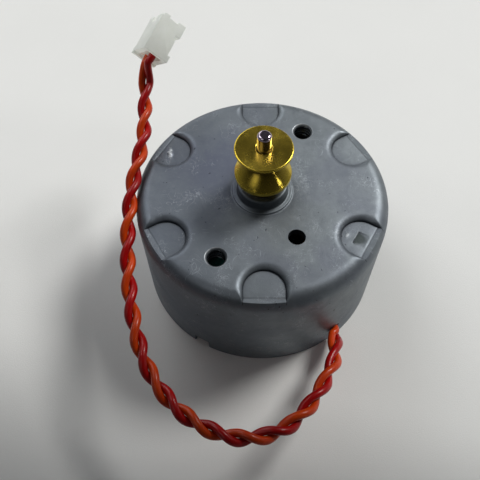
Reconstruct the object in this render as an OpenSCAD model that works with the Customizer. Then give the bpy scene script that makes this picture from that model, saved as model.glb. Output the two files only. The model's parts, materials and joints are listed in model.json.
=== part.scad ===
// Small flat brushed DC motor with a brass V-groove pulley and a twisted two-wire lead.
// Millimetres. +Z points out of the shaft end. The origin is on the motor axis, in the
// plane of the front mounting face, at the centre of the two tapped holes. The modules
// measure height from the case's open rim, which is the face the motor rests on, and
// seat() drops every piece by the height of the case.

/* [Case] */
// outside diameter of the drawn steel case
can_d = 24.4; // [24:0.1:25]
// height of the case, rest rim to front face
can_h = 12.3; // [12.1:0.1:13]
// side wall thickness
wall = 0.7; // [0.6:0.05:0.75]
// front face thickness
face_t = 0.8; // [0.7:0.05:0.9]
// radius of the rounded shoulder between face and side
shoulder_r = 1.5; // [1.3:0.1:1.8]
// outside diameter of the bearing collar
collar_d = 4.8; // [4.6:0.1:5]
// height of the collar above the front face
collar_h = 1.3; // [1:0.1:1.6]
// diameter of the shallow step round the collar
step_d = 5.7; // [5.4:0.1:6]
// height of that step
step_h = 0.14; // [0.1:0.02:0.2]

/* [Pressed dents] */
// half width and end radius of a dent's flat floor
dent_r = 1.9; // [1.7:0.1:2]
// distance from the axis to the centre of a dent's round end
dent_pos = 10.4; // [10.2:0.1:10.5]
// depth of the dents below the front face
dent_depth = 0.48; // [0.4:0.02:0.5]
// width of the sloped wall round a dent's end
dent_slope = 0.7; // [0.5:0.1:0.8]
// depth of the round stamp in one dent
stamp_depth = 0.1; // [0.06:0.02:0.12]

/* [Fixing holes] */
// pitch circle of the two tapped holes
tap_pcd = 17; // [16.8:0.1:17.2]
// tapping diameter of those holes
tap_d = 1.6; // [1.5:0.05:1.7]
// countersink diameter at their mouths
tap_mouth_d = 2.1; // [1.9:0.1:2.3]
// distance from the axis to the plain third hole
plain_pos = 6.1; // [6:0.1:6.3]
// diameter of the plain third hole
plain_d = 1.65; // [1.5:0.05:1.7]

/* [Rim cut-outs] */
// width of the slot the lead leaves through
slot_w = 0.96; // [0.94:0.02:1.1]
// height of the slot
slot_h = 2.45; // [2.4:0.05:2.6]
// direction of the slot from the axis, degrees
slot_az = -52.5; // [-53:0.5:-52]
// width of the keying notch
notch_w = 1.6; // [1.4:0.1:1.8]
// height of the keying notch
notch_h = 1.2; // [1:0.1:1.3]

/* [Shaft and pulley] */
// shaft diameter
shaft_d = 1.3; // [1.2:0.05:1.3]
// height of the shaft tip above the rest plane
shaft_top = 20.2; // [19.8:0.1:21]
// rim diameter of the pulley
pulley_d = 5.25; // [5:0.05:5.4]
// height of the pulley's lower face
pulley_z = 14.8; // [14.7:0.1:15]
// overall height of the pulley
pulley_h = 3.7; // [3.5:0.1:3.9]
// thickness of each pulley rim
rim_t = 0.62; // [0.5:0.02:0.7]
// root diameter of the V groove
root_d = 2.5; // [2.3:0.1:2.7]

/* [Lead] */
// outside diameter of one insulated wire
wire_d = 0.68; // [0.64:0.01:0.68]
// distance between the two wire centres in the twist
twist_gap = 0.74; // [0.72:0.01:0.76]
// diameter of the stripped strands
strand_d = 0.36; // [0.3:0.02:0.38]

/* [Connector] */
// length of the housing
conn_l = 4.1; // [3.9:0.1:4.4]
// width of the housing across its two ways
conn_w = 3.3; // [3.2:0.1:3.5]
// thickness of the housing
conn_t = 2.7; // [2.6:0.1:2.9]
// distance between the two ways
conn_pitch = 1.25; // [1.24:0.01:1.26]

/* [Rotor and field] */
// outside diameter of the core
core_d = 18; // [17.6:0.1:18.2]
// number of core sheets
sheets = 7; // [6:1:7]
// inside diameter of the field magnet
magnet_id = 18.8; // [18.6:0.1:19]
// diameter of the commutator
comm_d = 4.4; // [4.3:0.05:4.4]

/* [Output] */
// name of the sub-part to show, or all

/* [Hidden] */
$fn = 64;

can_r = can_d / 2;
inner_r = can_r - wall;
inner_h = can_h - face_t; // height of the front face's inner side
shaft_r = shaft_d / 2;
core_r = core_d / 2;
run_gap = 0.02;   // running clearance of the shaft
stack_gap = 0.05; // axial clearance between stacked pieces

// bearings
bearing_bore_r = 1.7;
bush_r = bearing_bore_r - 0.01;
neck_z = inner_h - 0.6; // lower end of the necks inside the front face
neck_h = 0.7;

// rear cover and the pieces stacked on it
cover_z = 0.25;
cover_t = 0.6;
cup_top = cover_z + 2.25; // top of the bearing cup
plate_z = cover_z + 0.3;
plate_t = 0.2;
holder_z = cover_z + cover_t + stack_gap;
holder_t = 0.8;
holder_top = holder_z + holder_t;

// rotor stack
sheet_pitch = 0.5;
core_z = 6.4;
core_h = sheets * sheet_pitch;
core_top = core_z + core_h;
washer_t = 0.25;
washer_r = 1.4;
rear_washer_z = cup_top + stack_gap;
front_washer_z = neck_z - washer_t;

// ---------- helpers ----------
module seat() translate([0, 0, -can_h]) children();

module ring(outer_r, inner_r, height) {
  difference() {
    cylinder(r = outer_r, h = height);
    translate([0, 0, -1]) cylinder(r = inner_r, h = height + 2);
  }
}
module annulus(outer_r, inner_r) {
  difference() {
    circle(outer_r);
    circle(inner_r);
  }
}
// round rod along X, starting at x, at height z
module rod_x(x, diameter, length, z = 0) {
  translate([x, 0, z]) rotate([0, 90, 0]) cylinder(d = diameter, h = length);
}
// square bar along X, starting at x, centred on the X axis
module bar_x(x, length, size_y, size_z) {
  translate([x, -size_y / 2, -size_z / 2]) cube([length, size_y, size_z]);
}

// ---------- case ----------
dent_azimuths = [-90 : 60 : 210];
tap_azimuths = [60, -120];
stamp_az = -30;
plain_az = -60;
notch_az = -120;
collar_edge_r = 0.2;
inner_shoulder_r = shoulder_r - 0.6;

module can_profile() {
  difference() {
    union() {
      square([can_r - shoulder_r, can_h]);
      square([can_r, can_h - shoulder_r]);
      translate([can_r - shoulder_r, can_h - shoulder_r]) circle(shoulder_r);
      square([step_d / 2, can_h + step_h]);
      edge_x = collar_d / 2 - collar_edge_r;
      edge_z = can_h + collar_h - collar_edge_r;
      square([collar_d / 2, edge_z]);
      square([edge_x, can_h + collar_h]);
      translate([edge_x, edge_z]) circle(collar_edge_r);
    }
    square([inner_r - inner_shoulder_r, inner_h]);
    square([inner_r, inner_h - inner_shoulder_r]);
    translate([inner_r - inner_shoulder_r, inner_h - inner_shoulder_r])
      circle(inner_shoulder_r);
    square([bearing_bore_r, can_h + 5]);
  }
  // inner neck that holds the bearing
  translate([bearing_bore_r, neck_z]) square([0.7, neck_h]);
}
module dent_cut() {
  inset_y = dent_r - 0.1; // inner side of the sloped wedge, inside the floor cut
  wedge_l = 1.5;
  translate([dent_pos, 0, can_h - dent_depth]) {
    // round end, sloped, towards the axis
    intersection() {
      cylinder(r1 = dent_r, r2 = dent_r + dent_slope, h = dent_depth);
      translate([-5, -5, 0]) cube([5, 10, 2]);
    }
    translate([0, -dent_r, 0]) cube([5, 2 * dent_r, 3]);
    // side walls lose their slope towards the shoulder
    for (side = [-1, 1]) scale([1, side, 1]) polyhedron(
      points = [
        [0, inset_y, 0], [0, dent_r, 0],
        [0, dent_r + dent_slope, dent_depth], [0, inset_y, dent_depth],
        [wedge_l, inset_y, 0], [wedge_l, dent_r, 0],
        [wedge_l, dent_r + 0.05, dent_depth], [wedge_l, inset_y, dent_depth]],
      faces = [[0, 1, 2, 3], [4, 7, 6, 5], [0, 4, 5, 1], [1, 5, 2], [5, 6, 2],
        [2, 6, 7, 3], [3, 7, 4, 0]]);
  }
}
module tapped_hole_cut() {
  sink = (tap_mouth_d - tap_d) / 2;
  translate([tap_pcd / 2, 0, 0]) {
    translate([0, 0, inner_h - 2]) cylinder(d = tap_d, h = 4);
    translate([0, 0, can_h - sink])
      cylinder(d1 = tap_d, d2 = tap_mouth_d + 0.2, h = sink + 0.1);
  }
}
module rim_cut(azimuth, width, height) {
  rotate(azimuth) translate([inner_r - 1.2, -width / 2, -1]) cube([4, width, height + 1]);
}
module can() {
  color("#8d949c") difference() {
    union() {
      rotate_extrude() can_profile();
      // inside of each pressed dent
      for (az = dent_azimuths) rotate(az) translate([9.85, 0, inner_h - dent_depth])
        cylinder(r = dent_r, h = dent_depth + 0.12);
      // drawn necks behind the tapped holes
      for (az = tap_azimuths) rotate(az) translate([tap_pcd / 2, 0, neck_z])
        cylinder(r = 1.3, h = neck_h);
      // staked tabs that hold the rear cover
      for (az = [0, 90, 180, 270]) rotate(az) intersection() {
        ring(inner_r + 0.1, inner_r - 0.45, cover_z);
        translate([5, -0.8, -1]) cube([10, 1.6, 3]);
      }
    }
    for (az = dent_azimuths) rotate(az) dent_cut();
    // shallow stamp in one dent
    rotate(stamp_az) translate([10.1, 0.1, can_h - dent_depth - stamp_depth])
      cylinder(r = 0.62, h = 2);
    for (az = tap_azimuths) rotate(az) tapped_hole_cut();
    rotate(plain_az) translate([plain_pos, 0, inner_h - 2]) cylinder(d = plain_d, h = 4);
    rim_cut(slot_az, slot_w, slot_h);
    rim_cut(notch_az, notch_w, notch_h);
  }
}

// Plain bearing, chamfered at both outer edges and at the top of the bore.
module bush(bottom, top) {
  height = top - bottom;
  bore_r = shaft_r + run_gap;
  chamfer = 0.12;
  translate([0, 0, bottom]) rotate_extrude() difference() {
    translate([bore_r, 0]) square([bush_r - bore_r, height]);
    translate([bush_r - chamfer, height - chamfer])
      polygon([[0, 0.2], [0.2, 0.2], [0.2, -0.08]]);
    translate([bore_r, height]) polygon([[-0.1, 0.1], [-0.1, -0.15], [0.15, 0.1]]);
    translate([bush_r - chamfer, chamfer])
      polygon([[0, -0.2], [0.2, -0.2], [0.2, 0.08]]);
  }
}
module front_bush() {
  color("#8a6f4d") bush(neck_z + 0.05, can_h + collar_h + 0.05);
}
module rear_bush() {
  color("#8a6f4d") bush(plate_z + plate_t + stack_gap, cup_top);
}
module rear_cover() {
  color("#9aa0a6") difference() {
    union() {
      translate([0, 0, cover_z]) cylinder(r = inner_r - 0.03, h = cover_t);
      translate([0, 0, cover_z]) cylinder(r = 2.3, h = cup_top - cover_z);
    }
    translate([0, 0, plate_z]) cylinder(r = bearing_bore_r, h = 4);
    // pressed ring groove on the outside of the cover
    translate([0, 0, cover_z - 1]) ring(6.2, 5.2, 1.15);
    for (az = [30, 210]) rotate(az) translate([8.6, 0, -1]) cylinder(r = 0.6, h = 3);
  }
}
module thrust_plate() {
  color("#3c3c3e") translate([0, 0, plate_z]) cylinder(r = 1.6, h = plate_t);
}
// Field magnet, chamfered inside at both ends and outside at the top, with one gap.
module magnet_ring() {
  magnet_ir = magnet_id / 2;
  magnet_or = inner_r - 0.04;
  magnet_h = 6.2;
  color("#3a3b3d") difference() {
    translate([0, 0, 4.6]) rotate_extrude() difference() {
      translate([magnet_ir, 0]) square([magnet_or - magnet_ir, magnet_h]);
      for (z = [magnet_h, 0])
        translate([magnet_ir, z]) rotate(45) square([0.4, 0.4], center = true);
      translate([magnet_or, magnet_h]) rotate(45) square([0.9, 0.9], center = true);
    }
    rotate(100) translate([5, -0.4, 4]) cube([9, 0.8, 8]);
  }
}

// ---------- brush gear ----------
leaf_y = 2.62;  // side of the spring leaf that faces the axis
leaf_t = 0.15;
leaf_h = 1.1;
foot_x = 8.52;  // near side of the spring foot
brush_y = 1.9;  // near side of the brush block before it is hollowed

module brush_holder() {
  color("#23262a") difference() {
    union() {
      translate([0, 0, holder_z]) cylinder(r = 11.3, h = holder_t);
      // posts that carry the springs
      for (az = [0, 180]) rotate(az) translate([6.9, 2.95, holder_z]) cube([1.6, 1.1, 3.3]);
      // wall round the bearing cup
      translate([0, 0, holder_z]) cylinder(r = 3.6, h = 1.4);
    }
    cylinder(r = 2.6, h = 5);
    // channel for the lead
    rotate(slot_az) translate([9.55, -2.6, 0]) cube([3, 5.2, 5]);
    for (az = [45, 135, 225]) rotate(az) translate([7.8, 0, 0]) cylinder(r = 1.1, h = 5);
  }
}
// Leaf, bend and foot, one bent strip with a hole near the leaf's free end.
module spring_leaf() {
  bend_x = 8.4;
  color("#c79a55") translate([0, 0, 3.0]) difference() {
    linear_extrude(leaf_h) union() {
      translate([-1.0, leaf_y]) square([9.5, leaf_t]);
      translate([foot_x, leaf_y]) square([leaf_t, 1.6]);
      translate([bend_x, leaf_y]) square([foot_x + leaf_t - bend_x, leaf_t]);
    }
    translate([-0.65, 3.5, leaf_h / 2]) rotate([90, 0, 0]) cylinder(r = 0.14, h = 2);
  }
}
module brush_spring_a() { spring_leaf(); }
module brush_spring_b() { rotate(180) spring_leaf(); }
// Block against the leaf, hollowed to the commutator.
module brush_block() {
  color("#46423e") difference() {
    translate([-0.5, brush_y, 3.15]) cube([1.0, leaf_y - brush_y, 0.8]);
    translate([0, 0, 2]) cylinder(d = comm_d + 0.04, h = 4);
  }
}
module brush_pad_a() { brush_block(); }
module brush_pad_b() { rotate(180) brush_block(); }

// ---------- terminals and strands ----------
term_r = 9.35;     // outer face of the upright tabs, from the axis
term_z = 2.35;     // height of the strand holes
term_spread = 9;   // degrees from the slot to each terminal
tab_t = 0.3;
tab_w = 1.5;
tab_foot_l = 1.9;
strand_hole_d = strand_d + 0.02;

module each_terminal() {
  for (side = [-1, 1]) rotate(slot_az + side * term_spread) children();
}
module terminal_hole() { rod_x(term_r - 1, strand_hole_d, 3, z = term_z); }
module tab(azimuth) {
  color("#c9cbc8") rotate(azimuth) difference() {
    union() {
      translate([term_r - tab_t, -tab_w / 2, holder_top]) cube([tab_t, tab_w, 1.5]);
      translate([term_r - tab_foot_l, -tab_w / 2, holder_top])
        cube([tab_foot_l, tab_w, tab_t]);
    }
    terminal_hole();
  }
}
module terminal_a() { tab(slot_az + term_spread); }
module terminal_b() { tab(slot_az - term_spread); }
module solder_joints() {
  color("#b9bcbf") each_terminal() difference() {
    intersection() {
      translate([term_r, 0, term_z]) sphere(r = 0.5);
      translate([term_r, -2, 0]) cube([2, 4, 5]);
    }
    terminal_hole();
  }
}
module wire_strands() {
  color("#b87333") {
    each_terminal() rod_x(term_r - 0.6, strand_d, 1.25, z = term_z);
    place_conn() each_way() rod_x(1.12, strand_d, 0.7);
  }
}

// ---------- lead ----------
// Route of the lead: x, y, z of its centre line and the twist angle there, degrees.
route = [
  [7.4, -9.7, 1.6, 0], [7.2, -11.6, 2.9, 90], [6.9, -13.5, 4.3, 215],
  [5.8, -16.0, 5.4, 390], [4.0, -18.8, 6.1, 615], [1.4, -21.1, 6.6, 865],
  [-2.0, -21.9, 7.1, 1130], [-5.3, -21.0, 7.4, 1390], [-8.1, -19.0, 7.8, 1650],
  [-10.4, -15.8, 8.3, 1935], [-11.8, -11.6, 9.0, 2250], [-12.5, -7.3, 9.9, 2560],
  [-12.7, -2.9, 11.1, 2870], [-12.4, 1.4, 12.3, 3170], [-11.7, 5.7, 13.3, 3465],
  [-11.7, 10.0, 14.4, 3775], [-11.55, 12.55, 16.1, 3980]];
// Path of each wire from its terminal out through the slot: distance out along the
// slot, distance across it, height. The orange wire leaves above the red one.
exit_orange = [
  [9.88, 1.56, 2.35], [10.22, 1.32, 2.33], [10.66, 0.7, 2.24], [11.1, 0.2, 2.13],
  [11.55, 0.06, 2.08], [12, 0, 2.06], [12.4, -0.12, 2.14], [12.62, -0.42, 2.42]];
exit_red = [
  [9.88, -1.56, 2.35], [10.22, -1.32, 2.14], [10.66, -0.74, 1.76], [11.1, -0.25, 1.45],
  [11.55, -0.03, 1.33], [12, 0, 1.29], [12.38, -0.1, 1.33]];
// place and turn of the connector's own frame: +X to the mating end, ways along Z
conn_at = [-11.1, 12.97, 17.15];
conn_rot = [45.4, -22.7, 60.3];

steps = 11; // steps between two route stations
sides = 8;  // sides of a wire's cross-section
last = len(route) - 1;
route_end = last * steps;

// route station i, carried on in a straight line past either end
function station(i) = i < 0 ? 2 * route[0] - route[1] :
  i > last ? 2 * route[last] - route[last - 1] : route[i];
// Catmull-Rom curve from station i to the next, t from 0 to 1
function spline(i, t) = 0.5 * (2 * station(i) + (station(i + 1) - station(i - 1)) * t
  + (2 * station(i - 1) - 5 * station(i) + 4 * station(i + 1) - station(i + 2)) * t * t
  + (3 * station(i) - station(i - 1) - 3 * station(i + 1) + station(i + 2)) * t * t * t);
// centre line, twist angle and direction at step k
function route_at(k) = spline(floor(k / steps), k / steps - floor(k / steps));
function centre(k) = let (q = route_at(k)) [q[0], q[1], q[2]];
function twist(k) = route_at(k)[3];
function unit(v) = v / norm(v);
function along(k) = unit(centre(k + 0.25) - centre(k - 0.25));
// one wire of the twist, side = 1 or -1
function twisted(k, side) =
  let (dir = along(k), normal = unit([0, 0, 1] - dir[2] * dir), across = cross(dir, normal))
  centre(k) + side * twist_gap / 2 * (cos(twist(k)) * normal + sin(twist(k)) * across);

function turn_x(a, v) =
  [v[0], v[1] * cos(a) - v[2] * sin(a), v[1] * sin(a) + v[2] * cos(a)];
function turn_y(a, v) =
  [v[0] * cos(a) + v[2] * sin(a), v[1], v[2] * cos(a) - v[0] * sin(a)];
function turn_z(a, v) =
  [v[0] * cos(a) - v[1] * sin(a), v[0] * sin(a) + v[1] * cos(a), v[2]];
// a point of the connector's frame; place_conn() does the same for solids
function in_conn(v) =
  conn_at + turn_z(conn_rot[2], turn_y(conn_rot[1], turn_x(conn_rot[0], v)));
module place_conn() translate(conn_at) rotate(conn_rot) children();

// approach to a way: x in the connector's frame, offset as a share of the pitch
way_entry = [[-0.75, 0.38], [-0.25, 0.48], [0.4, 0.5], [1.1, 0.5]];
// whole path of one wire, from its terminal to its way in the housing
function wire_path(side) = concat(
  [for (v = side > 0 ? exit_orange : exit_red) turn_z(slot_az, v)],
  [for (k = [(side > 0 ? 6 : 2) : route_end - 9]) twisted(k, side)],
  [centre(route_end - 5.5) - side * [0.40, 0, 0]],
  [for (e = way_entry) in_conn([e[0], 0, -side * conn_pitch * e[1]])]);

// point and two cross axes at each place on a path, carried along without twisting
function frames(path) = let (
    count = len(path),
    dir = [for (i = [0 : count - 1])
      unit(path[min(i + 1, count - 1)] - path[max(i - 1, 0)])],
    first = unit(cross(dir[0], [0.31, 0.95, 0.2])))
  [for (i = 0, axis = first; i < count;
    i = i + 1, axis = i < count ? unit(axis - (axis * dir[i]) * dir[i]) : axis)
    [path[i], axis, cross(dir[i], axis)]];
module tube(path, radius) {
  stations = frames(path);
  count = len(stations);
  skin = [for (f = stations) for (j = [0 : sides - 1])
    f[0] + radius * (cos(j * 360 / sides) * f[1] + sin(j * 360 / sides) * f[2])];
  polyhedron(points = skin, faces = concat(
    [[for (j = [0 : sides - 1]) sides - 1 - j]],
    [[for (j = [0 : sides - 1]) (count - 1) * sides + j]],
    [for (i = [0 : count - 2]) for (j = [0 : sides - 1])
      let (a = i * sides + j, b = i * sides + (j + 1) % sides, c = a + sides, d = b + sides)
      each [[a, b, d], [a, d, c]]]));
}
module lead_orange() { color("#e2541b") tube(wire_path(1), wire_d / 2); }
module lead_red() { color("#a81f1c") tube(wire_path(-1), wire_d / 2); }

// ---------- connector, in its own frame ----------
way_w = 1.04; // width of a way
bore_w = 0.56; // width of the opening at its mating end and in the contact
lip_t = 0.85;
recess_end = conn_l - 1.35;

module each_way() {
  for (side = [-1, 1]) translate([0, 0, side * conn_pitch / 2]) children();
}
module connector_housing() {
  face_y = conn_t / 2;
  face_z = conn_w / 2;
  color("#e9ebe6") place_conn() difference() {
    union() {
      bar_x(0, conn_l - 0.25, conn_t, conn_w);
      // two lips at the mating end, the one on the -Y side carries the locking key
      translate([1, face_y - lip_t, -face_z]) cube([conn_l - 1, 0.60, conn_w]);
      translate([1, -face_y, -face_z]) cube([conn_l - 1, lip_t, conn_w]);
      // skirt along the -Z side at the wire end
      translate([-0.2, -face_y, -face_z - 0.3]) cube([0.7, conn_t, 0.6]);
    }
    // recess in the -Y side behind the key, deepest next to it
    translate([0.7, -face_y - 1, -face_z - 1]) cube([recess_end - 0.7, 1.3, conn_w + 2]);
    translate([recess_end - 0.45, -face_y - 1, -face_z - 1]) cube([0.45, 1.5, conn_w + 2]);
    // two ways, wide at the wire end
    each_way() {
      bar_x(-1, conn_l + 0.4, way_w, way_w);
      bar_x(-1, conn_l + 3, bore_w, bore_w);
      bar_x(-1, 1.75, 1.6, way_w);
    }
    // pocket in the -Y side over each way
    each_way() translate([1.2, -face_y - 1, -0.35]) cube([0.85, 1.6, 0.7]);
    // shallow keyway in the +Y side at the mating end
    translate([conn_l - 0.9, face_y - 0.25, -0.5]) cube([2, 1, 1.0]);
  }
}
module contacts() {
  color("#d6d2c4") place_conn() each_way() difference() {
    union() {
      bar_x(1.95, 1.4, 0.84, 0.84);
      rod_x(1.15, 0.6, 0.85);
    }
    rod_x(1.0, strand_hole_d, 0.9);
    bar_x(2.1, 3, bore_w, bore_w);
  }
}

// ---------- shaft, pulley and washers ----------
module shaft() {
  end_r = 0.3; // rounding of both ends
  bottom = plate_z + plate_t + run_gap;
  color("#c9ccd0") rotate_extrude() {
    translate([0, bottom]) square([shaft_r - end_r, shaft_top - bottom]);
    translate([0, bottom + end_r]) square([shaft_r, shaft_top - bottom - 2 * end_r]);
    for (z = [bottom + end_r, shaft_top - end_r])
      translate([shaft_r - end_r, z]) circle(end_r);
  }
}
module pulley() {
  rim_r = pulley_d / 2;
  chamfer = 0.1;
  middle = pulley_h / 2;
  groove_x = root_d / 2 + 0.12; // where the groove's flanks end
  root_arc_r = 0.36;
  color("#c9a227") translate([0, 0, pulley_z]) rotate_extrude() difference() {
    polygon([[shaft_r, 0], [rim_r - chamfer, 0], [rim_r, chamfer],
      [rim_r, pulley_h - chamfer], [rim_r - chamfer, pulley_h], [shaft_r, pulley_h]]);
    polygon([[rim_r + 1, rim_t - 0.35], [rim_r, rim_t], [groove_x, middle - 0.3],
      [groove_x, middle + 0.3], [rim_r, pulley_h - rim_t],
      [rim_r + 1, pulley_h - rim_t + 0.35]]);
    translate([root_d / 2 + root_arc_r, middle]) circle(root_arc_r);
  }
}
// ring that fits on the shaft
module washer(bottom, height, outer_r) {
  translate([0, 0, bottom]) ring(outer_r, shaft_r + 0.01, height);
}
module thrust_washer_rear() { color("#d8cfae") washer(rear_washer_z, washer_t, washer_r); }
module thrust_washer_front() { color("#d8cfae") washer(front_washer_z, washer_t, washer_r); }
module spacer_sleeve() {
  bottom = core_top + 0.45;
  color("#e3e0d6") washer(bottom, front_washer_z - stack_gap - bottom, 1.15);
}

// ---------- core and windings ----------
// Three-pole outline: hub, arms, and shoes that reach half_angle to each side.
module pole_shape(hub_r, arm_w, shoe_ir, shoe_or, half_angle) {
  reach = 20; // beyond the shoes
  dx = reach * cos(half_angle);
  dy = reach * sin(half_angle);
  difference() {
    union() {
      circle(hub_r);
      for (az = [0, 120, 240]) rotate(az) {
        translate([0, -arm_w / 2]) square([(shoe_ir + shoe_or) / 2, arm_w]);
        intersection() {
          annulus(shoe_or, shoe_ir);
          polygon([[0, 0], [dx, -dy], [reach, 0], [dx, dy]]);
        }
      }
    }
    circle(shaft_r + 0.005);
  }
}
module core_laminations() {
  color("#6d7278") for (i = [0 : sheets - 1]) translate([0, 0, core_z + i * sheet_pitch])
    linear_extrude(sheet_pitch - 0.01) pole_shape(hub_r = 2.4, arm_w = 3.4,
      shoe_ir = core_r - 1.1, shoe_or = core_r, half_angle = 52);
}
module core_insulators() {
  color("#2f6f6a") for (z = [core_z - 0.42, core_top + 0.01]) translate([0, 0, z])
    linear_extrude(0.4) pole_shape(hub_r = 2.8, arm_w = 3.8,
      shoe_ir = core_r - 0.95, shoe_or = core_r - 0.55, half_angle = 30);
}
module coil(azimuth) {
  coil_x = 3.35; // inner end of the coil
  coil_w = 6.5;
  window_h = core_h + 0.9;
  coil_h = window_h + 0.9;
  corner_r = 0.65;
  groove_depth = 0.08;
  floor_w = coil_w - 2 * groove_depth;
  floor_h = coil_h - 2 * groove_depth;
  mid_z = (core_z + core_top) / 2;
  // the block stops short of the pole shoes at its corners
  outer_x = sqrt(pow(core_r - 1.17, 2) - pow(coil_w / 2, 2));
  color("#b5622b") rotate(azimuth) difference() {
    translate([coil_x, 0, mid_z]) rotate([90, 0, 90])
      linear_extrude(outer_x - coil_x) difference() {
        union() {
          square([coil_w, coil_h - 2 * corner_r], center = true);
          square([5.1, coil_h], center = true);
          for (x = [-1, 1]) for (y = [-1, 1])
            translate([x * (coil_w / 2 - corner_r), y * (coil_h / 2 - corner_r)])
              circle(corner_r);
        }
        square([3.9, window_h], center = true);
      }
    // grooves left by the layers of turns
    for (i = [0 : 4]) translate([3.8 + i * 0.71, -5, mid_z - 5]) difference() {
      cube([0.12, 10, 10]);
      translate([-1, 5 - floor_w / 2, 5 - floor_h / 2]) cube([3, floor_w, floor_h]);
    }
  }
}
module winding_a() { coil(0); }
module winding_b() { coil(120); }
module winding_c() { coil(240); }

// ---------- commutator ----------
comm_hub_r = 1.68;
segment_ir = comm_hub_r + 0.02;
segment_z = 2.95;
segment_h = 1.4;
segment_half_angle = 56;

module varistor_ring() {
  color("#394b52") translate([0, 0, 4.6]) ring(3.2, 1.75, 0.6);
}
module commutator_hub() {
  color("#5a2f22") washer(rear_washer_z + washer_t + stack_gap, 3.1, comm_hub_r);
}
module commutator_segments() {
  reach = 10; // beyond the segments
  dx = reach * cos(segment_half_angle);
  dy = reach * sin(segment_half_angle);
  color("#c0793f") for (az = [0, 120, 240]) rotate(az) {
    translate([0, 0, segment_z]) linear_extrude(segment_h) intersection() {
      annulus(comm_d / 2, segment_ir);
      polygon([[0, 0], [dx, -dy], [reach, -dy], [reach, dy], [dx, dy]]);
    }
    // radial tag on top of the segment
    translate([0, 0, segment_z + segment_h]) linear_extrude(0.2) intersection() {
      annulus(3.1, segment_ir);
      translate([0, -0.5]) square([5, 1.0]);
    }
  }
}

seat() can();
seat() front_bush();
seat() rear_cover();
seat() rear_bush();
seat() thrust_plate();
seat() magnet_ring();
seat() brush_holder();
seat() brush_spring_a();
seat() brush_spring_b();
seat() brush_pad_a();
seat() brush_pad_b();
seat() terminal_a();
seat() terminal_b();
seat() solder_joints();
seat() wire_strands();
seat() lead_orange();
seat() lead_red();
seat() connector_housing();
seat() contacts();
seat() shaft();
seat() pulley();
seat() thrust_washer_front();
seat() spacer_sleeve();
seat() core_laminations();
seat() core_insulators();
seat() winding_a();
seat() winding_b();
seat() winding_c();
seat() varistor_ring();
seat() commutator_hub();
seat() commutator_segments();
seat() thrust_washer_rear();
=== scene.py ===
"""A small round DC motor with a grooved pulley and a two-wire lead ending in a white plug.

The motor stands on the open rim of its case, shaft up along +Z, front face at z = 0.
The viewer is on the -Y side. The lead leaves at the front right, runs round the front
and up the left side to the plug. Shapes are drawn in mm, with z measured from the rim.
"""
import bpy
import bmesh
import json
from functools import reduce
from math import asin, atan2, cos, degrees, exp, floor, hypot, pi, radians, sin, tau
import numpy as np
from mathutils import Vector, Matrix
from mathutils.geometry import delaunay_2d_cdt


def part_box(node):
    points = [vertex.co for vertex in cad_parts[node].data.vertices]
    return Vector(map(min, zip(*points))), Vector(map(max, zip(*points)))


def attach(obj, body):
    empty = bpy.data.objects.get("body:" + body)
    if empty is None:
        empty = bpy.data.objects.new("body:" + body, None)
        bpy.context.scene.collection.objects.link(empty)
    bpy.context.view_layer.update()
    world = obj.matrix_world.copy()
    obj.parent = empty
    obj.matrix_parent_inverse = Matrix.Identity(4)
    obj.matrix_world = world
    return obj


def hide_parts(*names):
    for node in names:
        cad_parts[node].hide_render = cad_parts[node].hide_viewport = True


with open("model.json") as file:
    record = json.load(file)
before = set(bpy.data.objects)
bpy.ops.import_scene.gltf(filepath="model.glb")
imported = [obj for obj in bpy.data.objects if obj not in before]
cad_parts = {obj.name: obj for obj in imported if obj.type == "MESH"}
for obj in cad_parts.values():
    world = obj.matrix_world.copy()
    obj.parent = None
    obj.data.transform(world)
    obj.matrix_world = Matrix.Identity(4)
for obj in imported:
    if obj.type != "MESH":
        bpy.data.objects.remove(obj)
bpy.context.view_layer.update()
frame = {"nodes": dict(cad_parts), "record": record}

# ------------------------------------------------------------------ sizes, mm and degrees
MM = 1e-3
RIM_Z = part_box("can")[0].z     # plane of the case's open rim, metres


def span(node):
    """(bottom, top, radius) of a CAD piece, mm above the rim."""
    low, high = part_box(node)
    return (low.z - RIM_Z) / MM, (high.z - RIM_Z) / MM, high.x / MM


_, COLLAR_TOP, CASE_R = span("can")
FACE = -RIM_Z / MM             # front face above the rim
PULLEY_LOW, PULLEY_TOP, PULLEY_R = span("pulley")
SHAFT_LOW, SHAFT_TOP, SHAFT_R = span("shaft")

SHOULDER = 1.5                 # outer radius where the face rolls into the side
INNER_R = CASE_R - 0.7         # inside of the side wall
INNER_FACE = FACE - 0.8        # inside of the front face

# Round-ended dents pressed into the face, open towards the shoulder. Beside a dent,
# u runs outward from the centre of its round end and v runs across it.
DENT_ANGLES = [-90, -30, 30, 90, 150, 210]
DENT_R, DENT_DIST = 1.9, 10.4  # round end, and how far out its centre is
DENT_DEPTH = 0.48
FOLD = 11.22                   # how far out the floor starts to rise
FLOOR_SLOPE = 0.11
BAND, BAND_END = 0.72, 0.10    # soft band round a dent, at its round end and outer end

# A stamped wedge in the front right dent and a raised smear in the back left one
STAMP_ANGLE, STAMP_IN, STAMP_SIDE = -30, 0.52, 0.10
SMEAR_ANGLE, SMEAR_IN, SMEAR_SIDE, SMEAR_TURN = 150, 0.05, 0.35, -32

TAPS = [(8.5 * cos(radians(a)), 8.5 * sin(radians(a))) for a in (60, -120)]
TAP_MOUTH, TAP_R = 1.05, 0.80
PLAIN_HOLE = (6.1 * cos(radians(-60)), 6.1 * sin(radians(-60)))
PLAIN_R = 0.825
SLOT_ANGLE = -52.5             # slot in the rim where the lead comes out


def to_m(p):
    return (p[0] * MM, p[1] * MM, p[2] * MM + RIM_Z)


# ------------------------------------------------------------------ shader nodes
def operator(operation):
    """A method that adds one math node."""
    return lambda a, b=0.0: a.nodes.math(operation, a, b)


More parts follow.
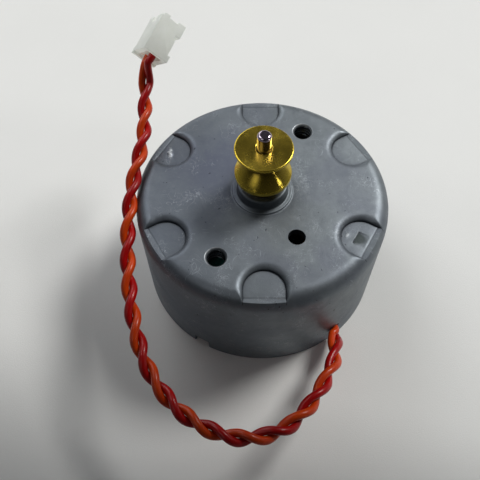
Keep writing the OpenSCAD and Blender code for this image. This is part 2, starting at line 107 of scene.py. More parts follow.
class Signal:
    """A shader output. Arithmetic on it adds math nodes."""
    __add__ = operator("ADD")
    __sub__ = operator("SUBTRACT")
    __mul__ = operator("MULTIPLY")
    __truediv__ = operator("DIVIDE")
    __mod__ = operator("MODULO")
    __abs__ = operator("ABSOLUTE")
    __gt__ = operator("GREATER_THAN")
    __lt__ = operator("LESS_THAN")
    max = operator("MAXIMUM")
    min = operator("MINIMUM")
    sine = operator("SINE")
    cosine = operator("COSINE")
    arctan2 = operator("ARCTAN2")
    root = operator("SQRT")

    def __init__(self, nodes, socket):
        self.nodes = nodes
        self.socket = socket

    def __rsub__(self, number):
        return self.nodes.math("SUBTRACT", number, self)

    def clamp(self):
        """Clamps the last math node to 0..1."""
        self.socket.node.use_clamp = True
        return self

    def ramp(self, *stops):
        """A colour ramp through (position, grey or RGB) stops."""
        ramp = self.nodes.add("ValToRGB", {0: self})
        elements = ramp.socket.node.color_ramp.elements
        while len(elements) < len(stops):
            elements.new(0.5)
        for k, (position, c) in enumerate(stops):
            elements[k].position = position
            elements[k].color = (*c, 1) if isinstance(c, tuple) else (c, c, c, 1)
        return ramp

    def rise(self, lo, hi):
        """0 up to lo, 1 from hi."""
        return self.ramp((lo, 0.0), (hi, 1.0))

    def fall(self, hi, lo=0.0, peak=1.0):
        """peak up to lo, 0 from hi."""
        return self.ramp((lo, peak), (hi, 0.0))


class Nodes:
    """Short ways to add nodes to a cleared shader tree."""

    def __init__(self, tree):
        self.tree = tree
        tree.nodes.clear()

    def feed(self, socket, value):
        if isinstance(value, Signal):
            self.tree.links.new(value.socket, socket)
        elif isinstance(value, tuple) and len(value) == 3 and socket.type == "RGBA":
            socket.default_value = (*value, 1.0)
        else:
            socket.default_value = value

    def add(self, kind, inputs=None, out=0, **settings):
        node = self.tree.nodes.new("ShaderNode" + kind)
        for name, value in settings.items():
            setattr(node, name, value)
        for key, value in (inputs or {}).items():
            self.feed(node.inputs[key], value)
        return Signal(self, node.outputs[out])

    def math(self, operation, a, b):
        return self.add("Math", {0: a, 1: b}, operation=operation)

    def hypot(self, a, b):
        return (a * a + b * b).root()

    def mix(self, amount, under, over):
        return self.add("Mix", {0: amount, 6: under, 7: over}, out=2, data_type="RGBA")

    def xyz(self, vector):
        node = self.add("SeparateXYZ", {0: vector}).socket.node
        return [Signal(self, s) for s in node.outputs]


class Material(Nodes):
    """A Principled material with its pattern helpers, all in mm."""
    INPUTS = {"color": "Base Color", "rough": "Roughness", "metal": "Metallic",
              "normal": "Normal", "aniso": "Anisotropic", "tangent": "Tangent",
              "spec": "Specular IOR Level", "coat": "Coat Weight",
              "coat_rough": "Coat Roughness", "sss": "Subsurface Weight",
              "sss_scale": "Subsurface Scale", "sss_radius": "Subsurface Radius"}

    def __init__(self, name):
        self.material = bpy.data.materials.new(name)
        self.material.use_nodes = True
        super().__init__(self.material.node_tree)
        self.output = self.tree.nodes.new("ShaderNodeOutputMaterial")
        self.surface = self.add("BsdfPrincipled")
        self.feed(self.output.inputs[0], self.surface)
        place = self.add("TexCoord", out="Object")
        self.point = self.add("VectorMath", {0: place, "Scale": 1000.0}, operation="SCALE")

    def set(self, **values):
        for key, value in values.items():
            self.feed(self.surface.socket.node.inputs[self.INPUTS[key]], value)
        return self.material

    def noise(self, scale, detail=3.0, rough=0.55, vec=None, dist=0.0, w=0.0):
        """Noise; w picks one of its patterns."""
        return self.add("TexNoise", {"Vector": vec or self.point, "Scale": scale,
                                     "Detail": detail, "Roughness": rough,
                                     "Distortion": dist, "W": w}, noise_dimensions="4D")

    def stretch(self, turn, scale):
        """The point turned about z and scaled, for streaks."""
        return self.add("Mapping", {"Vector": self.point, "Scale": scale,
                                    "Rotation": (0.0, 0.0, radians(turn))})

    def bump(self, height, mm):
        return self.add("Bump", {"Height": height, "Distance": mm * MM, "Strength": 1.0})

    def radial(self):
        """Distance from the motor axis."""
        flat = self.add("VectorMath", {0: self.point, 1: (1, 1, 0)}, operation="MULTIPLY")
        return self.add("VectorMath", {0: flat}, out="Value", operation="LENGTH")

    def edge(self):
        """1 on convex edges."""
        return self.add("NewGeometry", out="Pointiness").rise(lo=0.52, hi=0.62)

    def ao(self, mm, samples=6):
        return self.add("AmbientOcclusion", {"Distance": mm * MM}, out="AO", samples=samples)


def shade(color, factor):
    return tuple(min(1, c * factor) for c in color)


# ------------------------------------------------------------------ common materials
def metal(name, color, rough, mottle=0.12, scratch=0.3, bump=0.004, scale=0.9):
    """Matt or satin sheet metal with mottling, fine scratches and specks."""
    m = Material(name)
    big = m.noise(scale=scale * 0.35, detail=4, rough=0.6, w=1.3)
    mid = m.noise(scale=scale * 2.2, detail=5, rough=0.62, w=4.1)
    light = shade(color, 1 + mottle)
    col = m.mix(big.rise(lo=0.34, hi=0.66), shade(color, 1 - mottle * 1.6), light)
    col = m.mix(mid.rise(lo=0.42, hi=0.7) * 0.45, col, light)
    scratches = []
    for k, turn in enumerate((24, -37, 81)):
        streaks = m.stretch(turn, scale=(0.35, 14.0, 9.0))
        streaks = m.noise(scale=1.0, detail=2, rough=0.5, vec=streaks, w=7.7 * k)
        scratches.append(streaks.rise(lo=0.64, hi=0.72))
    scratches = reduce(Signal.max, scratches)
    specks = m.noise(scale=5.5, detail=2, rough=0.5, w=2.2).rise(lo=0.72, hi=0.77)
    col = m.mix(scratches * (scratch * 0.5), col, shade(color, 1.5))
    col = m.mix(specks * 0.45, col, shade(color, 0.4))
    col = m.mix(m.edge() * 0.5, col, shade(color, 1.7))
    grain = m.noise(scale=26, detail=3, rough=0.6, w=0.4)
    height = grain * 0.8 + mid * 0.9 - scratches * scratch
    gloss = ((mid - 0.5) * 0.22 + rough - scratches * 0.10).clamp()
    return m.set(color=col, metal=1.0, rough=gloss, normal=m.bump(height, mm=bump))


def plastic(name, color, rough, bump=0.004, vary=0.1):
    """Moulded plastic or another dull solid, slightly cloudy and specked."""
    m = Material(name)
    big = m.noise(scale=0.9, detail=3, rough=0.5, w=3.0)
    col = m.mix(big.rise(lo=0.35, hi=0.65), shade(color, 1 - vary), shade(color, 1 + vary))
    specks = m.noise(scale=11, detail=2, rough=0.5, w=5.0).rise(lo=0.68, hi=0.74)
    col = m.mix(specks * 0.25, col, shade(color, 0.55))
    grain = m.noise(scale=9.0, detail=4, rough=0.6)
    gloss = ((grain - 0.5) * 0.25 + rough).clamp()
    return m.set(color=col, rough=gloss, normal=m.bump(grain, mm=bump))


def turned(name, color, rough, pitch=0.05, depth=0.0022, aniso=0.7, dark=0.5, edge=0.6,
           groove=None):
    """Turned metal: fine rings about the motor axis. groove is (bottom z, top z, radius) of the
    span darkened with painted shade.
    """
    m = Material(name)
    r = m.radial()
    z = m.xyz(m.point)[2]
    across = m.add("CombineXYZ", {0: r * (1.0 / pitch), 1: z * (1.0 / pitch), 2: 0.0})
    rings, broad = [
        m.add("TexNoise", {"Vector": across, "Scale": s, "Detail": detail, "Roughness": rg},
              noise_dimensions="3D")
        for s, detail, rg in ((0.55, 2.5, 0.6), (0.09, 1.0, 0.5))]
    cloud = m.noise(scale=1.4, detail=4, rough=0.6, w=2.0)
    col = m.mix(cloud.rise(lo=0.4, hi=0.75) * dark, color, shade(color, 0.62))
    col = m.mix(rings.rise(lo=0.45, hi=0.7) * 0.30, col, shade(color, 1.25))
    specks = m.noise(scale=6.0, detail=2, rough=0.5, w=8.0).rise(lo=0.73, hi=0.77)
    col = m.mix(specks * 0.4, col, shade(color, 0.35))
    col = m.mix(m.edge() * edge, col, shade(color, 1.5))
    if groove:
        # Painted shade down in the groove, darkest at its root
        low, top, radius = groove
        inside = (z > low) * (z < top)
        inside = inside * (r / radius).ramp((0.46, 0.72), (0.60, 0.30), (0.82, 0.0))
        col = m.mix(inside, col, (0.075, 0.040, 0.010))
    gloss = ((cloud - 0.5) * 0.2 + rough).clamp()
    return m.set(color=col, metal=1.0, rough=gloss, aniso=aniso,
                 normal=m.bump(rings + broad * 2.0, mm=depth),
                 tangent=m.add("Tangent", direction_type="RADIAL", axis="Z"))


# ------------------------------------------------------------------ case material
def case_scratches(m):
    """Hairlines that wander in patches, and a patch of straight rubbing."""
    lines = []
    for k, (scale, width) in enumerate(((0.55, 0.006), (0.9, 0.009), (1.5, 0.012))):
        wander = m.noise(scale=scale, detail=2.0, rough=0.45, w=21.0 + 4.1 * k, dist=1.2)
        patch = m.noise(scale=0.42, detail=2, rough=0.5, w=33.0 + k).rise(lo=0.54, hi=0.62)
        lines.append(abs(wander - 0.5).fall(hi=width) * patch)
    streaks = m.stretch(-42, scale=(0.8, 11.0, 9.0))
    rub = m.noise(scale=1.0, detail=2, rough=0.5, vec=streaks, w=5.5).rise(lo=0.69, hi=0.74)
    rub = rub * m.noise(scale=0.5, detail=1, rough=0.5, w=12.0).rise(lo=0.50, hi=0.58)
    return reduce(Signal.max, lines).max(rub * 0.6)


def tap_marks(m, col, x, y):
    """(colour, worn and glinting rims, holes): bright rims, worn in patches and kept bright only
    on their upper left as a painted highlight, and painted shade down the threaded bores.
    """
    rims, holes = [], []
    for tap_x, tap_y in TAPS:
        dx, dy = x - tap_x, y - tap_y
        away = m.hypot(dx, dy)
        rim = abs(away - 1.0).fall(hi=0.09)
        rim = rim * m.noise(scale=1.8, detail=2, rough=0.5, w=50.0).ramp((0.38, 0.5), (0.56, 1.0))
        # Painted highlight: only the upper-left side of each rim stays bright
        rim = rim * (dy * 0.6 - dx * 0.8).ramp((0.0, 0.25), (0.75, 1.0))
        col = m.mix(rim * 0.85, col, (0.78, 0.82, 0.85))
        # Painted shade down the bore
        inside = away < 0.87
        col = m.mix(inside * 0.88, col, (0.03, 0.034, 0.036))
        rims.append(rim)
        holes.append(inside.max(rim * 0.8))
    return col, reduce(Signal.max, rims), reduce(Signal.max, holes)


def dent_crease_shade(m, x, y, z, r):
    """Painted shade along the foot of each dent and the fold where its floor turns up."""
    angle = (y.arctan2(x) + 2 * tau) % (tau / 6) - tau / 12
    u = r * angle.cosine() - DENT_DIST
    v = abs(r * angle.sine())
    foot = abs(m.hypot(u.min(0.0), v) - DENT_R + 0.01).fall(hi=0.055)
    fold = abs(u - 0.80).fall(hi=0.10, peak=0.8) * (v < DENT_R)
    below_face = (z < -0.30) * (z > -1.3)
    return foot.max(fold * 0.8) * below_face * (u < 1.4)


def dent_place(x, y, angle, inward):
    """(outward, across) from a point a little inward of a dent's centre."""
    c, s = cos(radians(angle)), sin(radians(angle))
    return x * c + (y * s - (DENT_DIST - inward)), y * c - x * s


def case_zinc():
    """Dull zinc plate with a blue-grey cast, cloudy patches, rubbing and specks."""
    m = Material("case_zinc")
    base, light, deep = (0.182, 0.206, 0.226), (0.234, 0.262, 0.282), (0.118, 0.128, 0.172)
    x, y, z = m.xyz(m.point)
    r = m.radial()
    big = m.noise(scale=0.16, detail=4, rough=0.55, w=5.2, dist=0.6)
    mid = m.noise(scale=0.8, detail=5, rough=0.65, w=1.7, dist=0.4)
    fine = m.noise(scale=3.2, detail=5, rough=0.7, w=9.1)
    col = m.mix(mid.rise(lo=0.36, hi=0.68), base, light)
    col = m.mix(big.rise(lo=0.50, hi=0.68) * 0.45, col, deep)

    # Blue patch behind and left of the collar
    patch_x, patch_y = -4.2, 2.6
    away = m.hypot(x - patch_x, y - patch_y) + (mid - 0.5) * 5.0
    col = m.mix((away * 0.1).fall(lo=0.15, hi=0.62, peak=0.60), col, (0.118, 0.130, 0.196))

    # Painted shade: darker and bluer over the left half, where less light falls
    left = (mid * 8.0 - x) * 0.05 - 0.10
    col = m.mix(left.rise(lo=0.0, hi=0.55) * 0.50, col, (0.098, 0.112, 0.148))
    col = m.mix(fine.rise(lo=0.5, hi=0.72) * 0.22, col, light)

    scratches = case_scratches(m)
    col = m.mix(scratches * 0.40, col, (0.56, 0.60, 0.63))
    flecks = m.noise(scale=7.0, detail=1, rough=0.5, w=40.0).rise(lo=0.72, hi=0.76)
    col = m.mix(flecks * 0.14, col, (0.50, 0.53, 0.56))
    pits = m.noise(scale=2.6, detail=1, rough=0.5, w=14.0).rise(lo=0.745, hi=0.77)
    dots = m.noise(scale=8.0, detail=1, rough=0.5, w=3.9).rise(lo=0.745, hi=0.78)
    col = m.mix(pits.max(dots * 0.6) * 0.7, col, (0.03, 0.03, 0.04))
    # Tap rims: worn in patches, with a painted highlight; bores with painted shade
    col, worn_and_glinting, holes = tap_marks(m, col, x, y)
    # Painted shade along the dent creases
    col = m.mix(dent_crease_shade(m, x, y, z, r) * 0.72, col, (0.035, 0.038, 0.045))

    # Painted shade round the foot of the collar under the pulley, then broad painted shade on the
    # face from occlusion
    collar_shade = (r * 0.1).ramp((0.238, 0.35), (0.245, 0.60), (0.286, 0.10), (0.33, 0.0))
    col = m.mix(collar_shade, col, (0.020, 0.026, 0.026))
    on_top = (z > -0.6) * (z < 0.06)
    shadow = m.ao(mm=3.2, samples=8).fall(lo=0.50, hi=0.94, peak=0.78)
    col = m.mix(shadow * on_top, col, (0.025, 0.028, 0.034))

    # Painted shade as a dark green tint in the stamp, darkest along its inner edge; painted
    # highlights along that edge and on the low bump just inward of it
    out, across = dent_place(x, y, STAMP_ANGLE, STAMP_IN)
    across = across + STAMP_SIDE
    away = m.hypot((out - 0.10) / 0.98, across / 0.70)
    wedge = (away + (mid - 0.5) * 0.5).fall(lo=0.70, hi=1.0) * out.rise(lo=0.0, hi=0.05)
    col = m.mix(wedge * out.ramp((0.0, 0.82), (1.0, 0.55)), col, (0.030, 0.040, 0.034))
    bright = abs(out + 0.05).fall(hi=0.05) * (abs(across - 0.25) < 0.42)
    away = m.hypot(out + 0.79, (across + 0.20) * 0.5)
    bright = bright.max(away.fall(lo=0.06, hi=0.16) * 0.8)

    # Raised smear in the dent at the back left, with a painted highlight on it
    out, across = dent_place(x, y, SMEAR_ANGLE, SMEAR_IN)
    across = across - SMEAR_SIDE
    c, s = cos(radians(SMEAR_TURN)), sin(radians(SMEAR_TURN))
    away = m.hypot((out * c - across * s) / 0.26, (out * s + across * c) / 0.80)
    away = away + (fine - 0.5) * 2.4
    bright = bright.max(away.fall(lo=0.55, hi=1.0)) * (r > 7.5)
    # Painted highlights: the stamp's edge, the bump and the smear
    col = m.mix(bright * 0.55, col, (0.66, 0.70, 0.73))

    # Painted shade in crevices, from a short occlusion
    col = m.mix(m.ao(mm=0.5).fall(lo=0.10, hi=0.55, peak=0.60), col, (0.03, 0.032, 0.038))
    grain = m.noise(scale=14, detail=4, rough=0.65, w=0.8)
    height = grain * 0.55 + fine * 0.8 + mid * 2.0 - scratches * 0.35 - pits * 0.8
    gloss = ((fine - 0.5) * 0.20 + 0.50 + (big - 0.5) * 0.24).clamp()
    gloss = (gloss - holes * 0.30).clamp()
    return m.set(color=col, metal=(0.74 - worn_and_glinting.max(bright * 0.5) * 0.62).clamp(),
                 rough=gloss, normal=m.bump(height, mm=0.010), spec=0.35)


# ------------------------------------------------------------------ other materials
def insulation(name, color, deep):
    """Glossy extruded wire insulation with faint handling marks."""
    m = Material(name)
    big = m.noise(scale=0.55, detail=3, rough=0.5, w=2.0)
    col = m.mix(big.rise(lo=0.35, hi=0.65), color, deep)
    marks = m.noise(scale=4.5, detail=3, rough=0.6, w=6.0).rise(lo=0.62, hi=0.75)
    col = m.mix(marks * 0.25, col, shade(color, 0.5))
    fine = m.noise(scale=7.0, detail=4, rough=0.6, w=1.0)
    height = fine + m.noise(scale=1.6, detail=2, rough=0.5) * 2.0
    return m.set(color=col, rough=fine * 0.22 + 0.22, normal=m.bump(height, mm=0.010),
                 spec=0.28, coat=0.08, coat_rough=0.10,
                 sss=0.06, sss_radius=(0.6, 0.15, 0.08), sss_scale=0.0003)


def nylon():
    """Natural nylon that glows a little and lets light through its shadow."""
    m = Material("natural_nylon")
    big = m.noise(scale=0.8, detail=3, rough=0.5, w=1.0)
    col = m.mix(big.rise(lo=0.35, hi=0.65), (0.88, 0.90, 0.86), (0.93, 0.945, 0.92))
    scuffs = m.noise(scale=5.0, detail=4, rough=0.65, w=4.0).rise(lo=0.60, hi=0.75)
    col = m.mix(scuffs * 0.22, col, (0.42, 0.42, 0.40))
    grain = m.noise(scale=16, detail=4, rough=0.6, w=2.0)
    m.set(color=col, rough=grain * 0.2 + 0.30, spec=0.4,
          normal=m.bump(grain + scuffs * 0.8, mm=0.006))
    glow = m.add("BsdfTranslucent", {0: m.mix(0.5, col, (0.93, 0.95, 0.92))})
    body = m.add("MixShader", {0: 0.30, 1: m.surface, 2: glow})
    clear = m.add("BsdfTransparent", {0: (0.74, 0.75, 0.71)})
    shadow = m.add("LightPath", out="Is Shadow Ray") * 0.85
    m.feed(m.output.inputs[0], m.add("MixShader", {0: shadow, 1: body, 2: clear}))
    return m.material


def enamelled_wire():
    """Copper winding, banded turn by turn."""
    m = Material("enamelled_wire")
    turns = m.add("TexWave", {"Vector": m.point, "Scale": 1.6, "Distortion": 0.6, "Detail": 1.0},
                  wave_type="BANDS", bands_direction="Z")
    col = m.mix(turns, (0.20, 0.055, 0.015), (0.62, 0.22, 0.07))
    col = m.mix(m.noise(scale=3.0, detail=3, rough=0.6) * 0.4, col, (0.40, 0.12, 0.04))
    return m.set(color=col, metal=0.7, rough=0.28, coat=0.6, coat_rough=0.1,
                 normal=m.bump(turns, mm=0.03))


MATERIALS = {
    "steel_case": case_zinc(),
    "cover_steel": metal("cover_zinc", (0.50, 0.53, 0.56), rough=0.40, mottle=0.14,
                         scratch=0.5, bump=0.006),
    "bearing_bronze": metal("sintered_bronze", (0.30, 0.22, 0.13), rough=0.5, mottle=0.25,
                            scratch=0.15, bump=0.012, scale=2.0),
    "thrust_pad": plastic("thrust_pad", (0.05, 0.05, 0.055), rough=0.4),
    "ferrite": plastic("ferrite", (0.055, 0.055, 0.06), rough=0.6, bump=0.012, vary=0.2),
    "holder_plastic": plastic("black_moulding", (0.025, 0.027, 0.03), rough=0.42,
                              bump=0.008, vary=0.15),
    "spring_bronze": metal("phosphor_bronze", (0.66, 0.42, 0.18), rough=0.28,
                           scratch=0.5, bump=0.003),
    "brush_carbon": plastic("metal_graphite", (0.045, 0.04, 0.036), rough=0.5,
                            bump=0.012, vary=0.2),
    "tin": metal("hot_tin", (0.70, 0.71, 0.70), rough=0.3, bump=0.008),
    "solder": metal("solder", (0.66, 0.67, 0.68), rough=0.18, mottle=0.1, scratch=0.1,
                    bump=0.008),
    "copper_strand": metal("bare_copper", (0.72, 0.36, 0.20), rough=0.3, mottle=0.15,
                           scratch=0.5, bump=0.006),
    "wire_orange": insulation("orange_insulation", (0.61, 0.056, 0.002), (0.50, 0.036, 0.002)),
    "wire_red": insulation("red_insulation", (0.42, 0.002, 0.002), (0.31, 0.0015, 0.0015)),
    "connector_white": nylon(),
    "contact_tin": metal("contact_tin", (0.66, 0.62, 0.52), rough=0.25, mottle=0.1),
    "shaft_steel": turned("polished_steel", (0.37, 0.31, 0.37), rough=0.15, pitch=0.03,
                          depth=0.0005, aniso=0.3, dark=0.25, edge=0.1),
    "pulley_brass": turned("turned_brass", (0.60, 0.44, 0.058), rough=0.25, pitch=0.055,
                           depth=0.0006, aniso=0.35, dark=0.12, edge=0.06,
                           groove=(PULLEY_LOW - FACE + 0.42, PULLEY_TOP - FACE - 0.20, 2.9)),
    "washer_film": plastic("polymer_film", (0.55, 0.48, 0.33), rough=0.35),
    "sleeve_nylon": plastic("sleeve_nylon", (0.66, 0.65, 0.58), rough=0.4),
    "core_steel": metal("silicon_steel", (0.20, 0.215, 0.235), rough=0.4, mottle=0.15,
                        bump=0.006),
    "insulator": plastic("teal_insulator", (0.03, 0.18, 0.165), rough=0.45),
    "magnet_wire": enamelled_wire(),
    "varistor": plastic("varistor_oxide", (0.06, 0.09, 0.10), rough=0.6, bump=0.01),
    "hub_resin": plastic("phenolic", (0.10, 0.03, 0.015), rough=0.3),
    "comm_copper": turned("turned_copper", (0.66, 0.32, 0.17), rough=0.25),
}

# The CAD pieces get their materials and clean shading edges
node_slots = {s["node"]: s["material_slot"] for s in frame["record"]["subparts"]}
for node, ob in frame["nodes"].items():
    ob.data.materials.clear()
    ob.data.materials.append(MATERIALS[node_slots[node]])
    ob.data.shade_smooth()
    ob.modifiers.new("weld", "WELD").merge_threshold = 1e-7
    ob.modifiers.new("edges", "EDGE_SPLIT").split_angle = radians(32)


# ------------------------------------------------------------------ mesh help
def add_object(name, data):
    ob = bpy.data.objects.new(name, data)
    bpy.context.scene.collection.objects.link(ob)
    return ob


def finish_mesh(name, me, slot, angle, body="stator", replaces=None):
    """Shades a mesh, makes its object, parents it to its body and hides any CAD piece it
    replaces.
    """
    me.shade_smooth()
    me.set_sharp_from_angle(angle=radians(angle))
    ob = add_object(name, me)
    ob.data.materials.append(MATERIALS[slot])
    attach(ob, body)
    if replaces:
        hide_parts(replaces)


def build(name, verts, faces, slot, angle, bevel=None, **told):
    """Welds touching strips, in mm above the rim, into one closed mesh."""
    me = bpy.data.meshes.new(name)
    me.from_pydata([to_m(v) for v in verts], [], [list(f) for f in faces])
    bm = bmesh.new()
    bm.from_mesh(me)
    bmesh.ops.remove_doubles(bm, verts=bm.verts, dist=2e-7)
    bmesh.ops.dissolve_degenerate(bm, dist=1e-8, edges=bm.edges)
    loose = [v for v in bm.verts if not v.link_faces]
    bmesh.ops.delete(bm, geom=loose, context="VERTS")
    bmesh.ops.recalc_face_normals(bm, faces=bm.faces)
    if bevel:
        bevel(bm)
    bm.to_mesh(me)
    bm.free()
    finish_mesh(name, me, slot, angle, **told)


def refine(node, name, slot, width, segments):
    """A new piece from a CAD node's own shape, with its edges rounded."""
    bm = bmesh.new()
    bm.from_mesh(frame["nodes"][node].data)
    bmesh.ops.remove_doubles(bm, verts=bm.verts, dist=1e-6)
    bmesh.ops.dissolve_limit(bm, angle_limit=radians(1.5), verts=bm.verts, edges=bm.edges)
    bmesh.ops.recalc_face_normals(bm, faces=bm.faces)
    sharp = [e for e in bm.edges
             if len(e.link_faces) == 2 and e.calc_face_angle(0) > radians(35)]
    bmesh.ops.bevel(bm, geom=sharp, offset=width * MM, segments=segments, profile=0.5,
                    affect="EDGES", clamp_overlap=True)
    me = bpy.data.meshes.new(name)
    bm.to_mesh(me)
    bm.free()
    finish_mesh(name, me, slot, angle=40, replaces=node)


def lathe(profile, n, centre=(0, 0), closed=False, wobble=None):
    """(verts, faces) of a profile [(r, z)] turned about a vertical line."""
    verts, faces = [], []
    for j in range(n):
        a = tau * j / n
        for r, z in profile:
            if wobble:
                r = wobble(r, z, a)
            verts.append((centre[0] + r * cos(a), centre[1] + r * sin(a), z))
    m = len(profile)
    for j in range(n):
        k = (j + 1) % n
        for i in range(m if closed else m - 1):
            i2 = (i + 1) % m
            faces.append((j * m + i, k * m + i, k * m + i2, j * m + i2))
    return verts, faces


def join(parts):
    verts, faces = [], []
    for part_verts, part_faces in parts:
        first = len(verts)
        verts += list(part_verts)
        faces += [tuple(i + first for i in face) for face in part_faces]
    return verts, faces


def arc(centre_r, centre_z, r, start, end, n):
    angles = [radians(start + (end - start) * i / n) for i in range(n + 1)]
    return [(centre_r + r * cos(a), centre_z + r * sin(a)) for a in angles]


# ------------------------------------------------------------------ case sheet, in section
# The face, shoulder and side are one sheet, unrolled flat to be meshed. A run is the
# distance along the outer surface from the motor axis.
FLAT_R = CASE_R - SHOULDER             # where the shoulder starts
SHOULDER_RUN = SHOULDER * pi / 2
SIDE_START = FLAT_R + SHOULDER_RUN
RIM_RUN = SIDE_START + (FACE - SHOULDER)
SHEET_START = 3.1                      # inner edge of the sheet, round the hub
INNER_FLAT = 9.6                       # the inner surface matches the run out to here
INNER_CORNER = 0.9


def outer_section(run):
    """(r, z) of the outer surface."""
    if run <= FLAT_R:
        return run, FACE
    if run <= SIDE_START:
        t = (run - FLAT_R) / SHOULDER
        return FLAT_R + SHOULDER * sin(t), FACE - SHOULDER + SHOULDER * cos(t)
    return CASE_R, FACE - SHOULDER - (run - SIDE_START)


def inner_section(run):
    """(r, z) of the inner surface opposite."""
    corner_r, corner_z = INNER_R - INNER_CORNER, INNER_FACE - INNER_CORNER
    if run <= INNER_FLAT:
        return run, INNER_FACE
    if run <= FLAT_R:
        r = INNER_FLAT + (run - INNER_FLAT) * (corner_r - INNER_FLAT) / (FLAT_R - INNER_FLAT)
        return r, INNER_FACE
    if run <= SIDE_START:
        t = (run - FLAT_R) / SHOULDER
        return corner_r + INNER_CORNER * sin(t), corner_z + INNER_CORNER * cos(t)
    k = (run - SIDE_START) / (RIM_RUN - SIDE_START)
    return INNER_R, corner_z * (1 - k)


def run_at(r):
    if r <= FLAT_R:
        return r
    return FLAT_R + SHOULDER * asin(min(1.0, (r - FLAT_R) / SHOULDER))


def unroll(x, y):
    r = hypot(x, y)
    run = run_at(r)
    return (x / r * run, y / r * run)


# ------------------------------------------------------------------ dents
def to_dent(x, y, angle):
    c, s = cos(radians(angle)), sin(radians(angle))
    return x * c + y * s - DENT_DIST, -x * s + y * c


def from_dent(u, v, angle):
    """A dent's own (u, v) as a point of the unrolled sheet."""
    c, s = cos(radians(angle)), sin(radians(angle))
    return unroll((u + DENT_DIST) * c - v * s, (u + DENT_DIST) * s + v * c)


def outside_dent(u, v):
    """Distance outside the floor's outline."""
    return hypot(u, v) - DENT_R if u < 0 else abs(v) - DENT_R


def band_width(u):
    if u < 0:
        return BAND
    return BAND + (BAND_END - BAND) * min(1.0, u / 1.25)


def floor_z(u):
    return FACE - DENT_DEPTH + FLOOR_SLOPE * max(0.0, u + DENT_DIST - FOLD)


def dent_z(u, v, plain_z):
    """Height of the sheet near a dent: floor, steep foot, then the soft band."""
    foot_width, foot_rise = 0.035, 0.26
    low = floor_z(u) - 0.032 * exp(-((u + DENT_DIST - FOLD) / 0.11) ** 2)
    if plain_z <= low:
        return plain_z
    away = outside_dent(u, v)
    if away <= 0:
        return low
    width = band_width(u)
    if away >= width:
        return plain_z
    foot = foot_rise * min(1.0, away / foot_width)
    ease = 1 - (1 - away / width) ** 2.2
    if away <= foot_width:
        ease = ease * away / foot_width
    return low + (plain_z - low) * (foot + (1 - foot) * ease)


def sheet_z(x, y, plain_z):
    z = plain_z
    for angle in DENT_ANGLES:
        u, v = to_dent(x, y, angle)
        if u > -3.2 and abs(v) < 3.0 and hypot(x, y) > 7:
            z = min(z, dent_z(u, v, plain_z))
    return z


def mark_height(x, y):
    """The two small marks on dent floors."""
    u, v = to_dent(x, y, STAMP_ANGLE)
    out, across = u + STAMP_IN, v + STAMP_SIDE
    height = 0.0
    if -0.05 < out < 1.1 and abs(across) < 0.72:
        # Deepest along its straight inner edge, running out towards the fold
        sides = min(1.0, (0.72 - abs(across)) / 0.10)
        start = min(1.0, (out + 0.05) / 0.05)
        height -= 0.085 * start * max(0.0, 1 - max(0.0, out) / 1.05) ** 0.8 * sides
    # A low bump just inward of the stamp
    height += 0.03 * exp(-((u + 1.30) / 0.15) ** 2 - ((v + 0.28) / 0.34) ** 2)
    u, v = to_dent(x, y, SMEAR_ANGLE)
    u += SMEAR_IN
    v -= SMEAR_SIDE
    c, s = cos(radians(SMEAR_TURN)), sin(radians(SMEAR_TURN))
    a, b = u * c - v * s, u * s + v * c
    height += 0.13 * exp(-(b / 0.62) ** 4 - (a / 0.22) ** 2) * (1 + 0.35 * sin(9 * b + 1.3))
    return height


def lip_u(v):
    """How far out the floor meets the plain shoulder."""
    low, high = 0.5, 1.6
    for _ in range(40):
        u = (low + high) / 2
        r = hypot(u + DENT_DIST, v)
        if (outer_section(run_at(r))[1] if r < CASE_R else 0) > floor_z(u):
            low = u
        else:
            high = u
    return (low + high) / 2


def dent_outline(end, gap, side_steps, turn):
    """A U round the dent, gap(u) outside its floor, out to u = end."""
    sides = [end * k / side_steps for k in range(1, side_steps + 1)]
    round_r = DENT_R + gap(0)
    line = [(u, -(DENT_R + gap(u))) for u in reversed(sides)]
    line += [(round_r * cos(radians(t)), round_r * sin(radians(t)))
             for t in range(270, 89, -turn)]
    return line + [(u, DENT_R + gap(u)) for u in sides]


# ------------------------------------------------------------------ plan of the flat sheet
HUB_SIDES, TAP_SIDES, PLAIN_SIDES, SIDE_COLUMNS = 144, 44, 40, 240
CUT_CORNER = 0.14
# Cut-outs in the rim: angle, half width, height, steps along the top
CUTS = [(a, degrees(asin(half / CASE_R)), height, steps)
        for a, half, height, steps in ((SLOT_ANGLE, 0.48, 2.45, 5), (-120.0, 0.80, 1.20, 7))]
points, edges = [], []


def path(line, closed=False, fixed=True):
    first = len(points)
    points.extend(line)
    last = first + len(line) - 1
    if fixed:
        edges.extend((i, i + 1) for i in range(first, last))
        if closed:
            edges.append((last, first))


def ring(r, n, cx=0.0, cy=0.0, fixed=True):
    circle = [(cx + r * cos(tau * i / n), cy + r * sin(tau * i / n)) for i in range(n)]
    path(circle, closed=True, fixed=fixed)


def angle_between(phi, a):
    return (phi - a + 180) % 360 - 180


def cut_at(phi):
    for a, half, height, _ in CUTS:
        if abs(angle_between(phi, a)) < half - 1e-6:
            return a, half, height
    return None


def plan_holes():
    ring(SHEET_START, HUB_SIDES)
    for tap in TAPS:
        ring(TAP_MOUTH, TAP_SIDES, *tap)
        ring(TAP_MOUTH + 0.10, TAP_SIDES, *tap)
        ring(TAP_MOUTH + 0.45, 30, *tap, fixed=False)
    ring(PLAIN_R, PLAIN_SIDES, *PLAIN_HOLE)
    ring(PLAIN_R + 0.08, PLAIN_SIDES, *PLAIN_HOLE)
    ring(PLAIN_R + 0.4, 26, *PLAIN_HOLE, fixed=False)


